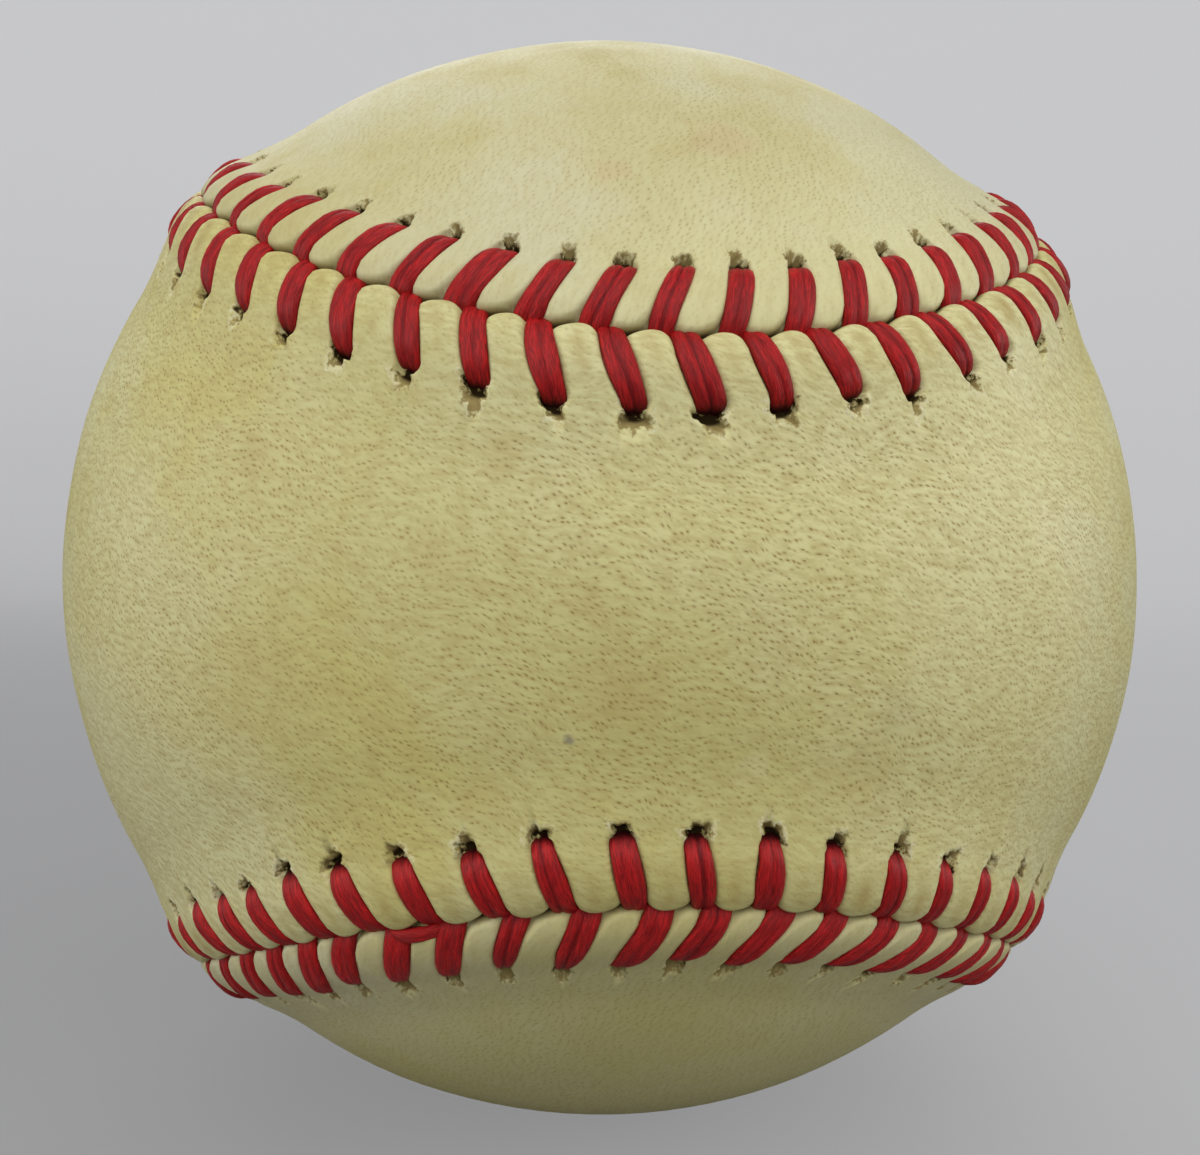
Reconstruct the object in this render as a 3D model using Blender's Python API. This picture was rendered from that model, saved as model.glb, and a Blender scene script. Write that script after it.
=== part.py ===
"""A baseball: cork and rubber pill, four windings, two leather covers and one sewn thread.

Metres, +Z up, origin at the centre of the ball.
The front cover has its narrow waist at -Y and its round lobes at +X and -X.
The back cover is the same piece of leather the other way round: waist at +Y, lobes at +Z and -Z.
"""

import math

import bmesh
import bpy
import numpy as np
from mathutils import Vector
from mathutils.geometry import delaunay_2d_cdt

# Pill: a cork ball of 13/16 inch, two black rubber cups of 5/32 inch with a gasket between them,
# and two red rubber cups of 3/32 inch
CORE_DIAMETER = 0.0206375
BLACK_RUBBER_WALL = 0.00396875
RED_RUBBER_WALL = 0.00238125
GASKET_HEIGHT = 0.0030

# Windings, each given by how much it adds to the radius
FIRST_WINDING_WALL = 0.01466
SECOND_WINDING_WALL = 0.00177
THIRD_WINDING_WALL = 0.00227
FINISHING_WINDING_WALL = 0.00051
YARN_PASSAGE_DIAMETER = 0.0020

# Cover
LEATHER_THICKNESS = 0.0012
WAIST_HALF_ANGLE = math.radians(21.0)
WELT_SLOPE_WIDTH = 0.0020

# Stitching
STITCH_COUNT = 108
STITCH_CROWDING = 0.20
STITCH_DRIFT = 0.21
HOLE_OFFSET = 0.0042
STITCH_LEAN = 0.00105
THREAD_WIDTH = 0.0011
THREAD_THICKNESS = 0.0004
START_BIGHT = 0.0014
THREAD_TAIL = 0.0030

# Fits: between buried layers, round the thread, and between two threads side by side
LAYER_GAP = 0.0003
THREAD_CLEARANCE = 0.0002
THREAD_SPACING = 0.0003

# Fineness of the facets
ROUND_SIDES = 16
RISE_STEPS = 8
COVER_POINTS = 420
SEAM_SAMPLES = 4320
SHARP_ANGLE = math.radians(40)
MERGE_DISTANCE = 1e-6
FLATTEN_TOLERANCE = 1e-9
INSIDE_ONLY = 1

# Finishes: name, colour and roughness
CORK = ("cork", (0.30, 0.17, 0.08), 0.9)
BLACK_RUBBER = ("black_rubber", (0.02, 0.02, 0.02), 0.6)
RED_RUBBER = ("red_rubber", (0.42, 0.05, 0.03), 0.6)
GREY_WOOL = ("grey_wool", (0.30, 0.29, 0.27), 0.95)
WHITE_WOOL = ("white_wool", (0.75, 0.73, 0.66), 0.95)
FINE_COTTON = ("fine_cotton", (0.80, 0.78, 0.72), 0.9)
COVER_LEATHER = ("cover_leather", (0.51, 0.48, 0.23), 0.5)
RED_THREAD = ("red_thread", (0.40, 0.016, 0.026), 0.55)

# Radii that follow from the stack of layers
CORE_RADIUS = CORE_DIAMETER / 2
BLACK_RADIUS = CORE_RADIUS + BLACK_RUBBER_WALL
PILL_RADIUS = BLACK_RADIUS + RED_RUBBER_WALL
FIRST_RADIUS = PILL_RADIUS + FIRST_WINDING_WALL
SECOND_RADIUS = FIRST_RADIUS + SECOND_WINDING_WALL
THIRD_RADIUS = SECOND_RADIUS + THIRD_WINDING_WALL
WOUND_RADIUS = THIRD_RADIUS + FINISHING_WINDING_WALL
COVER_RADIUS = WOUND_RADIUS + LEATHER_THICKNESS
HALF_GAP = LAYER_GAP / 2

# Heights in the raised seam, from the windings outwards: hidden thread, leather, thread on top
HIDDEN_RADIUS = WOUND_RADIUS - HALF_GAP + THREAD_CLEARANCE + THREAD_THICKNESS / 2
WELT_INNER_RADIUS = HIDDEN_RADIUS + THREAD_THICKNESS / 2 + THREAD_CLEARANCE
WELT_OUTER_RADIUS = WELT_INNER_RADIUS + LEATHER_THICKNESS - HALF_GAP
LEG_RADIUS = WELT_OUTER_RADIUS + THREAD_CLEARANCE + THREAD_THICKNESS / 2

# Distances from the seam line, across the leather
EDGE_OFFSET = THREAD_THICKNESS / 2 + THREAD_CLEARANCE
HOLE_NEAR = HOLE_OFFSET - EDGE_OFFSET
HOLE_FAR = HOLE_OFFSET + EDGE_OFFSET
FOOT_OFFSET = HOLE_FAR + WELT_SLOPE_WIDTH
HOLE_HALF_WIDTH = THREAD_WIDTH / 2 + THREAD_CLEARANCE
LEG_STAGGER = (THREAD_WIDTH + THREAD_SPACING) / 2

LOBE_TIPS = 4
GOLDEN_ANGLE = math.pi * (3 - math.sqrt(5))


def make_finish(name, colour, roughness):
    """A plain material of one colour."""
    material = bpy.data.materials.new(name)
    material.use_nodes = True
    shader = material.node_tree.nodes["Principled BSDF"]
    shader.inputs["Base Color"].default_value = (*colour, 1.0)
    shader.inputs["Roughness"].default_value = roughness
    shader.inputs["Metallic"].default_value = 0.0
    return material


def add_piece(name, mesh, material, centre):
    """Puts a mesh into the scene as one named piece of the ball."""
    mesh.materials.append(material)
    mesh.shade_smooth()
    mesh.set_sharp_from_angle(angle=SHARP_ANGLE)
    piece = bpy.data.objects.new(name, mesh)
    piece.parent = centre
    bpy.context.scene.collection.objects.link(piece)
    return piece


def closed_mesh(name, points, faces):
    """A closed mesh with its faces pointing outwards."""
    builder = bmesh.new()
    corners = [builder.verts.new(point) for point in points]
    for face in faces:
        builder.faces.new([corners[i] for i in face])
    bmesh.ops.recalc_face_normals(builder, faces=builder.faces)
    mesh = bpy.data.meshes.new(name)
    builder.to_mesh(mesh)
    builder.free()
    return mesh


# Turned pieces: the pill and the windings


def arc(radius, start, end):
    """Profile points in the XZ plane on a circle about the centre, by height angle."""
    steps = max(1, round(abs(end - start) / math.pi * RISE_STEPS))
    angles = [start + (end - start) * i / steps for i in range(steps + 1)]
    return [(radius * math.cos(angle), radius * math.sin(angle)) for angle in angles]


def turned_mesh(name, profile, ring=False):
    """Spins a profile once round Z. A ring's profile closes, and any other has its ends on the axis."""
    builder = bmesh.new()
    corners = [builder.verts.new((x, 0.0, z)) for x, z in profile]
    pairs = list(zip(corners, corners[1:]))
    if ring:
        pairs.append((corners[-1], corners[0]))
    edges = [builder.edges.new(pair) for pair in pairs]
    bmesh.ops.spin(
        builder,
        geom=corners + edges,
        axis=(0, 0, 1),
        cent=(0, 0, 0),
        angle=2 * math.pi,
        steps=ROUND_SIDES,
        use_merge=True,
    )
    bmesh.ops.remove_doubles(builder, verts=builder.verts, dist=MERGE_DISTANCE)
    bmesh.ops.recalc_face_normals(builder, faces=builder.faces)
    mesh = bpy.data.meshes.new(name)
    builder.to_mesh(mesh)
    builder.free()
    return mesh


def ball_mesh(name, radius):
    """A solid ball."""
    return turned_mesh(name, arc(radius, -math.pi / 2, math.pi / 2))


def cup_mesh(name, inner, outer, rim, up):
    """Half of a hollow ball, with its flat rim at height rim above the middle."""
    outside = arc(outer, math.pi / 2, math.asin(rim / outer))
    inside = arc(inner, math.asin(rim / inner), math.pi / 2)
    profile = [(x, up * z) for x, z in outside + inside]
    return turned_mesh(name, profile)


def winding_mesh(name, inner, outer):
    """A wound layer: a hollow ball with the passage that the yarn's first end runs down, at +Z."""
    passage = YARN_PASSAGE_DIAMETER / 2
    outside = arc(outer, -math.pi / 2, math.acos(passage / outer))
    inside = arc(inner, math.acos(passage / inner), -math.pi / 2)
    return turned_mesh(name, outside + inside)


def gasket_mesh(name, inner, outer, half_height):
    """The ring between the two black cups."""
    profile = [(inner, half_height), (outer, half_height), (outer, -half_height), (inner, -half_height)]
    return turned_mesh(name, profile, ring=True)


# Seam: a closed curve round the ball, and the places that are measured from it


class Seam:
    """The seam on a ball of radius 1, with the stitches spaced along it.

    The curve is u = a cos t + b cos 3t, v = a sin t - b sin 3t, w = 2 sqrt(ab) sin 2t.
    With a + b = 1 it lies on the unit ball, and the waist at w = 1 and at w = -1
    is as wide as WAIST_HALF_ANGLE says.
    """

    def __init__(self):
        self.a = (1 + math.sin(WAIST_HALF_ANGLE)) / 2
        self.b = (1 - math.sin(WAIST_HALF_ANGLE)) / 2
        self.turns = np.linspace(0, 2 * math.pi, SEAM_SAMPLES + 1)
        self.line = self.point(self.turns)
        steps = np.linalg.norm(np.diff(self.line, axis=0), axis=1)
        self.length = np.concatenate([[0.0], np.cumsum(steps)])

    def point(self, turn):
        """Points of the seam on the unit ball."""
        u = self.a * np.cos(turn) + self.b * np.cos(3 * turn)
        v = self.a * np.sin(turn) - self.b * np.sin(3 * turn)
        w = 2 * math.sqrt(self.a * self.b) * np.sin(2 * turn)
        return np.stack([(u - v) / math.sqrt(2), -w, (u + v) / math.sqrt(2)], axis=-1)

    def tangent(self, turn):
        """Unit direction of the seam."""
        u = -self.a * np.sin(turn) - 3 * self.b * np.sin(3 * turn)
        v = self.a * np.cos(turn) - 3 * self.b * np.cos(3 * turn)
        w = 4 * math.sqrt(self.a * self.b) * np.cos(2 * turn)
        along = np.stack([(u - v) / math.sqrt(2), -w, (u + v) / math.sqrt(2)], axis=-1)
        return along / np.linalg.norm(along, axis=-1, keepdims=True)

    def stitch_places(self):
        """Arc length on the unit ball of each stitch, closer together at the four tips of the lobes.

        The first tip is half of one tip's share along the seam. The crowding repeats at every tip.
        The drift shifts the stitches one way at the first tip and the other way at the third.
        """
        share = self.length / self.length[-1]
        from_tip = 2 * math.pi * (share - 1 / (2 * LOBE_TIPS))
        crowding = STITCH_CROWDING / (2 * math.pi * LOBE_TIPS) * np.sin(LOBE_TIPS * from_tip)
        drift = STITCH_DRIFT / STITCH_COUNT * np.cos(from_tip)
        count = (np.arange(STITCH_COUNT) + 0.5) / STITCH_COUNT
        return np.interp(count, share + crowding + drift, self.length)

    def place(self, along, across, radius):
        """Points by arc length along the seam, distance across it towards the front cover, and radius."""
        turn = np.interp(np.mod(along, self.length[-1]), self.length, self.turns)
        up = self.point(turn)
        side = np.cross(up, self.tangent(turn))
        angle = np.asarray(across / COVER_RADIUS)[..., None]
        return np.asarray(radius)[..., None] * (np.cos(angle) * up + np.sin(angle) * side)

    def distance(self, directions):
        """How far across the seam each direction lies, towards the front cover."""
        nearest = np.argmax(directions @ self.line.T, axis=1)
        turn = self.turns[nearest]
        side = np.cross(self.point(turn), self.tangent(turn))
        return np.arcsin(np.clip(np.sum(directions * side, axis=1), -1, 1)) * COVER_RADIUS


# Covers


def cover_inside_points(seam, towards):
    """Directions spread evenly over one cover, inside the foot of its raised seam."""
    index = np.arange(COVER_POINTS)
    height = 1 - (2 * index + 1) / COVER_POINTS
    ring = np.sqrt(1 - height**2)
    turn = index * GOLDEN_ANGLE
    spread = np.stack([ring * np.cos(turn), ring * np.sin(turn), height], axis=-1)
    spacing = COVER_RADIUS * math.sqrt(4 * math.pi / COVER_POINTS)
    poles = np.concatenate([np.eye(3), -np.eye(3)])
    apart = np.min(np.linalg.norm(spread[:, None] - poles[None], axis=2), axis=1) * COVER_RADIUS
    points = np.concatenate([poles, spread[apart > spacing / 2]])
    return points[towards * seam.distance(points) > FOOT_OFFSET + spacing / 2]


def cover_inside_faces(foot, inside, towards):
    """Triangles over the smooth part of a cover, from its flattened picture seen from its waist."""
    points = np.concatenate([foot, inside])
    points = points / np.linalg.norm(points, axis=1, keepdims=True)
    flat = points[:, [0, 2]] / (1 - towards * points[:, [1]])
    rim = [(i, (i + 1) % len(foot)) for i in range(len(foot))]
    corners = [Vector(point) for point in flat]
    found = delaunay_2d_cdt(corners, rim, [], INSIDE_ONLY, FLATTEN_TOLERANCE)
    return [tuple(found[3][corner][0] for corner in face) for face in found[2]]


def cover_mesh(name, seam, towards):
    """One leather cover: a strip of holes along the seam, its slope, and the smooth leather inside.

    Every stitch has two columns of the strip, the left and right edge of its hole,
    and one point on the foot of the slope. Each point has an outer and an inner twin.
    """
    stitches = seam.stitch_places()
    half = HOLE_HALF_WIDTH / COVER_RADIUS
    columns = np.stack([stitches - half, stitches + half], axis=1).ravel()
    rows = [EDGE_OFFSET, HOLE_NEAR, HOLE_FAR]
    strip = [seam.place(columns, towards * row, np.ones(len(columns))) for row in rows]
    foot = seam.place(stitches, towards * FOOT_OFFSET, np.ones(len(stitches)))
    inside = cover_inside_points(seam, towards)

    directions = np.concatenate(strip + [foot, inside])
    raised = np.arange(len(directions)) < len(rows) * len(columns)
    inner = np.where(raised, WELT_INNER_RADIUS, WOUND_RADIUS + HALF_GAP)
    outer = np.where(raised, WELT_OUTER_RADIUS, COVER_RADIUS)
    points = np.concatenate([directions * outer[:, None], directions * inner[:, None]])
    twin = len(directions)

    def corner(row, column):
        return row * len(columns) + column % len(columns)

    def foot_corner(stitch):
        return len(rows) * len(columns) + stitch % STITCH_COUNT

    skin = []
    walls = []
    for stitch in range(STITCH_COUNT):
        left, right, after = 2 * stitch, 2 * stitch + 1, 2 * stitch + 2
        skin.append((corner(0, left), corner(0, right), corner(1, right), corner(1, left)))
        skin.append((corner(0, right), corner(0, after), corner(1, after), corner(1, right)))
        skin.append((corner(1, right), corner(1, after), corner(2, after), corner(2, right)))
        skin.append((corner(2, left), corner(2, right), foot_corner(stitch)))
        skin.append((corner(2, right), corner(2, after), foot_corner(stitch)))
        skin.append((corner(2, after), foot_corner(stitch + 1), foot_corner(stitch)))
        walls.append((corner(0, left), corner(0, right)))
        walls.append((corner(0, right), corner(0, after)))
        hole = [corner(1, left), corner(1, right), corner(2, right), corner(2, left)]
        walls.extend(zip(hole, hole[1:] + hole[:1]))
    first_foot = foot_corner(0)
    for face in cover_inside_faces(foot, inside, towards):
        skin.append(tuple(first_foot + i for i in face))

    faces = list(skin)
    faces.extend(tuple(twin + i for i in reversed(face)) for face in skin)
    faces.extend((j, i, twin + i, twin + j) for i, j in walls)
    return closed_mesh(name, points, faces)


# Thread


def leg_stations(hole, side):
    """The thread's path over one leg, from under its hole to under the far cover's edge.

    A station is a place along and across the seam, a radius, and the corner of the thread's section there:
    how far it reaches across and outwards. The opposite corner reaches as far the other way.
    """
    dive = hole + (STITCH_LEAN - side * LEG_STAGGER) / COVER_RADIUS
    reach = THREAD_THICKNESS / 2
    return [
        (hole, side * HOLE_OFFSET, HIDDEN_RADIUS, -reach, side * reach),
        (hole, side * HOLE_OFFSET, LEG_RADIUS, -reach, -side * reach),
        (dive, 0.0, LEG_RADIUS, reach, -side * reach),
        (dive, 0.0, HIDDEN_RADIUS, reach, -side * reach),
    ]


def needle_stations(stitches, first_side):
    """One needle's half of the thread, which crosses to the other cover at every stitch."""
    stations = []
    for number, hole in enumerate(stitches):
        side = first_side if number % 2 == 0 else -first_side
        stations.extend(leg_stations(hole, side))
    dive = stations[-1][0]
    stations.append((dive, -side * THREAD_TAIL, HIDDEN_RADIUS, 0.0, -side * THREAD_THICKNESS / 2))
    return stations


def thread_mesh(name, seam):
    """The whole thread as one flat tube: one needle's half, its start under the seam, the other half."""
    stitches = seam.stitch_places()
    start = stitches[0] - START_BIGHT / COVER_RADIUS
    one_half = needle_stations(stitches, 1)
    other_half = needle_stations(stitches, -1)
    backwards = [(s, q, r, -dq, -dr) for s, q, r, dq, dr in reversed(other_half)]
    bight = (start, 0.0, HIDDEN_RADIUS, 0.0, THREAD_THICKNESS / 2)
    along, across, radius, reach_across, reach_out = np.array(backwards + [bight] + one_half).T

    half_width = THREAD_WIDTH / 2 / COVER_RADIUS
    corners = [(-1, 1), (1, 1), (1, -1), (-1, -1)]
    rings = [
        seam.place(along + w * half_width, across + c * reach_across, radius + c * reach_out)
        for w, c in corners
    ]
    points = np.stack(rings, axis=1).reshape(-1, 3)
    sides = len(corners)
    last = len(points) - sides
    faces = [tuple(range(sides)), tuple(range(last + sides - 1, last - 1, -1))]
    for ring in range(0, last, sides):
        for i in range(sides):
            j = (i + 1) % sides
            faces.append((ring + i, ring + sides + i, ring + sides + j, ring + j))
    return closed_mesh(name, points, faces)


def add_pill(centre):
    """The cork ball in its two layers of rubber."""
    cork = make_finish(*CORK)
    black = make_finish(*BLACK_RUBBER)
    red = make_finish(*RED_RUBBER)
    black_walls = (CORE_RADIUS + HALF_GAP, BLACK_RADIUS - HALF_GAP)
    red_walls = (BLACK_RADIUS + HALF_GAP, PILL_RADIUS - HALF_GAP)
    black_rim = GASKET_HEIGHT / 2 + HALF_GAP
    add_piece("cork_core", ball_mesh("cork_core", CORE_RADIUS - HALF_GAP), cork, centre)
    for word, up in (("upper", 1), ("lower", -1)):
        black_name = f"black_rubber_shell_{word}"
        red_name = f"red_rubber_shell_{word}"
        add_piece(black_name, cup_mesh(black_name, *black_walls, black_rim, up), black, centre)
        add_piece(red_name, cup_mesh(red_name, *red_walls, HALF_GAP, up), red, centre)
    gasket = gasket_mesh("red_rubber_gasket", *black_walls, GASKET_HEIGHT / 2 - HALF_GAP)
    add_piece("red_rubber_gasket", gasket, red, centre)


def add_windings(centre):
    """Three layers of wool and the fine yarn over them."""
    grey = make_finish(*GREY_WOOL)
    white = make_finish(*WHITE_WOOL)
    cotton = make_finish(*FINE_COTTON)
    layers = [
        ("first_wool_winding", PILL_RADIUS, FIRST_RADIUS, grey),
        ("second_wool_winding", FIRST_RADIUS, SECOND_RADIUS, white),
        ("third_wool_winding", SECOND_RADIUS, THIRD_RADIUS, grey),
        ("finishing_yarn_winding", THIRD_RADIUS, WOUND_RADIUS, cotton),
    ]
    for name, inner, outer, material in layers:
        add_piece(name, winding_mesh(name, inner + HALF_GAP, outer - HALF_GAP), material, centre)


def add_cover(centre):
    """The two leather covers and the thread that sews them together."""
    leather = make_finish(*COVER_LEATHER)
    thread = make_finish(*RED_THREAD)
    seam = Seam()
    for name, towards in (("front_cover", 1), ("back_cover", -1)):
        add_piece(name, cover_mesh(name, seam, towards), leather, centre)
    add_piece("stitching_thread", thread_mesh("stitching_thread", seam), thread, centre)


def main():
    """Builds every piece of the ball round one empty at its centre."""
    for thing in list(bpy.data.objects):
        bpy.data.objects.remove(thing)
    centre = bpy.data.objects.new("ball_centre", None)
    bpy.context.scene.collection.objects.link(centre)
    add_pill(centre)
    add_windings(centre)
    add_cover(centre)


main()
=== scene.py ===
"""Dresses an aged leather baseball: two covers, their red thread, the layers inside and a plain studio.

Metres, +Z up, origin at the centre of the ball. The frame gives the radii of the layers.
Everything on the covers is worked out from the seam line, the closed curve between the two covers:
"along" is arc length on that line, "across" is the distance from it towards the front cover,
and "inset" is the distance from it on either cover.
"""

from __future__ import annotations

import logging
import math
from dataclasses import dataclass
from enum import Enum

import bpy
import numpy as np
from mathutils import Matrix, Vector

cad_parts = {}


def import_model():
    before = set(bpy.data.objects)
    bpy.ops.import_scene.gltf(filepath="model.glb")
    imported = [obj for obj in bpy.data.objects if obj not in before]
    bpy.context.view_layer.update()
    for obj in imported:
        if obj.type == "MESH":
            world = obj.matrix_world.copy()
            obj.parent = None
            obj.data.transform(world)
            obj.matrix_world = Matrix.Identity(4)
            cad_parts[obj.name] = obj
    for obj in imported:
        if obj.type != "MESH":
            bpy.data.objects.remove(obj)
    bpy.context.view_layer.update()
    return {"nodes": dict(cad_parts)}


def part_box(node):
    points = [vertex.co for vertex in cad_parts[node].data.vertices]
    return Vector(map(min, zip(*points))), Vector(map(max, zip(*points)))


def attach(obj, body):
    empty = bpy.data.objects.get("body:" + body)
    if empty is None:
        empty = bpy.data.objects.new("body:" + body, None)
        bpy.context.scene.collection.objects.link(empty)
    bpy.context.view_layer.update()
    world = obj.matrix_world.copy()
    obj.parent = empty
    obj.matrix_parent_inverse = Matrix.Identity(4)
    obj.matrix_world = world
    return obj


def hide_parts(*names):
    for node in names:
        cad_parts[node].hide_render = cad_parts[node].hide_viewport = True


MM = 0.001
BODY = "root"
PHOTO_WIDTH = 1200
COVER_CLEARANCE = 0.3 * MM
THREAD_CLEARANCE = 0.4 * MM
LOG = logging.getLogger("baseball")

Array = np.ndarray
Triple = tuple[float, float, float]
Colour = Triple
Pair = tuple[float, float]
Steps = tuple[tuple[float, int], ...]


# Small pieces of arithmetic on whole arrays


def smooth_step(value: Array, low: float, high: float) -> Array:
    """Eased ramp of an array: 0 below low, 1 above high, and 3t^2 - 2t^3 between them."""
    part = np.clip((value - low) / (high - low), 0.0, 1.0)
    return part * part * (3.0 - 2.0 * part)


def smooth_min(one: Array, other: Array, blend: float) -> Array:
    """The lesser of two arrays, with the crease rounded where they are less than blend apart."""
    share = np.clip(0.5 + 0.5 * (other - one) / blend, 0.0, 1.0)
    return other + (one - other) * share - blend * share * (1.0 - share)


def rounded_fall(distance: Array, radius: float) -> Array:
    """A quarter of a circle as a share of its height: 1 at the edge, 0 from one radius inwards."""
    part = 1.0 - np.clip(distance / radius, 0.0, 1.0)
    return 1.0 - np.sqrt(1.0 - part * part)


def unit(vectors: Array) -> Array:
    """Vectors brought to length 1."""
    return vectors / np.linalg.norm(vectors, axis=-1, keepdims=True)


def direction(azimuth: float, elevation: float) -> Array:
    """Unit vector from degrees to the right of the front and degrees above the level."""
    turn, rise = math.radians(azimuth), math.radians(elevation)
    return np.array([math.sin(turn) * math.cos(rise), -math.cos(turn) * math.cos(rise), math.sin(rise)])


# Meshes from arrays


class RingSkin:
    """A closed skin made of rings of points, each joined to the one before it.

    Neighbouring rings have as many points as each other, or twice or half as many.
    A folded ring is pressed into a line: its points j and n - j are one point, which closes the skin.
    """

    def __init__(self) -> None:
        """Starts with no rings."""
        self.points: list[Array] = []
        self.traits: list[dict[str, Array]] = []
        self.rings: list[Array] = []
        self.count = 0

    def add(self, points: Array, traits: dict[str, Array], folded: bool = False) -> None:
        """Adds the next ring.

        Args:
            points: its points in order, only the first half and the turning point of a folded ring.
            traits: one value for each point under each attribute's name.
            folded: whether the ring is pressed into a line.
        """
        ring = np.arange(len(points))
        if folded:
            whole = np.arange(2 * (len(points) - 1))
            ring = np.minimum(whole, len(whole) - whole)
        self.rings.append(ring + self.count)
        self.points.append(points)
        self.traits.append(traits)
        self.count += len(points)

    @staticmethod
    def _join(near: Array, far: Array) -> Array:
        """Triangles between two rings, from the polygon over each step of the coarser ring.

        Args:
            near: corner numbers of the first ring.
            far: corner numbers of the second ring.

        Returns:
            Corner numbers of the triangles, three in a row.
        """
        if len(near) == len(far):
            a, b, c, d = near, np.roll(near, -1), far, np.roll(far, -1)
            parts = [(a, b, d), (a, d, c)]
        elif len(near) < len(far):
            a, b = near, np.roll(near, -1)
            left, middle, right = far[0::2], far[1::2], np.roll(far[0::2], -1)
            parts = [(a, b, middle), (b, right, middle), (a, middle, left)]
        else:
            left, middle, right = near[0::2], near[1::2], np.roll(near[0::2], -1)
            c, d = far, np.roll(far, -1)
            parts = [(left, middle, c), (middle, right, d), (middle, d, c)]
        return np.concatenate([np.stack(part, axis=1) for part in parts])

    def object(self, name: str) -> bpy.types.Object:
        """Puts the skin into the scene.

        Args:
            name: name of the piece.

        Returns:
            The new object, at the origin.
        """
        triangles = np.concatenate([self._join(a, b) for a, b in zip(self.rings, self.rings[1:])])
        names = self.traits[0].keys()
        traits = {key: np.concatenate([ring[key] for ring in self.traits]) for key in names}
        return add_mesh(name, np.concatenate(self.points), triangles, traits)


def add_mesh(name: str, points: Array, triangles: Array, traits: dict[str, Array]) -> bpy.types.Object:
    """Puts a closed triangle mesh into the scene with its faces outwards.

    The volume is a sixth of the sum of p0 . (p1 x p2) over the triangles.
    If it is negative, every triangle turns over.

    Args:
        name: name of the piece.
        points: its points, one row each.
        triangles: corner numbers, three in a row.
        traits: attribute values for the points, by name; one number or three numbers for each point.

    Returns:
        The new object, at the origin.
    """
    p0, p1, p2 = (points[triangles[:, corner]] for corner in range(3))
    if np.sum(p0 * np.cross(p1, p2)) < 0.0:
        triangles = triangles[:, ::-1]
    mesh = bpy.data.meshes.new(name)
    mesh.vertices.add(len(points))
    mesh.vertices.foreach_set("co", points.astype(np.float32).ravel())
    mesh.loops.add(triangles.size)
    mesh.loops.foreach_set("vertex_index", np.ascontiguousarray(triangles, dtype=np.int32).ravel())
    mesh.polygons.add(len(triangles))
    mesh.polygons.foreach_set("loop_start", np.arange(0, triangles.size, 3, dtype=np.int32))
    for key, values in traits.items():
        kind, slot = ("FLOAT", "value") if values.ndim == 1 else ("FLOAT_VECTOR", "vector")
        attribute = mesh.attributes.new(key, kind, "POINT")
        attribute.data.foreach_set(slot, values.astype(np.float32).ravel())
    mesh.update(calc_edges=True)
    mesh.validate()
    mesh.shade_smooth()
    piece = bpy.data.objects.new(name, mesh)
    bpy.context.scene.collection.objects.link(piece)
    return piece


# Node trees


Socket = bpy.types.NodeSocket
Feed = float | tuple | Socket


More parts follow.
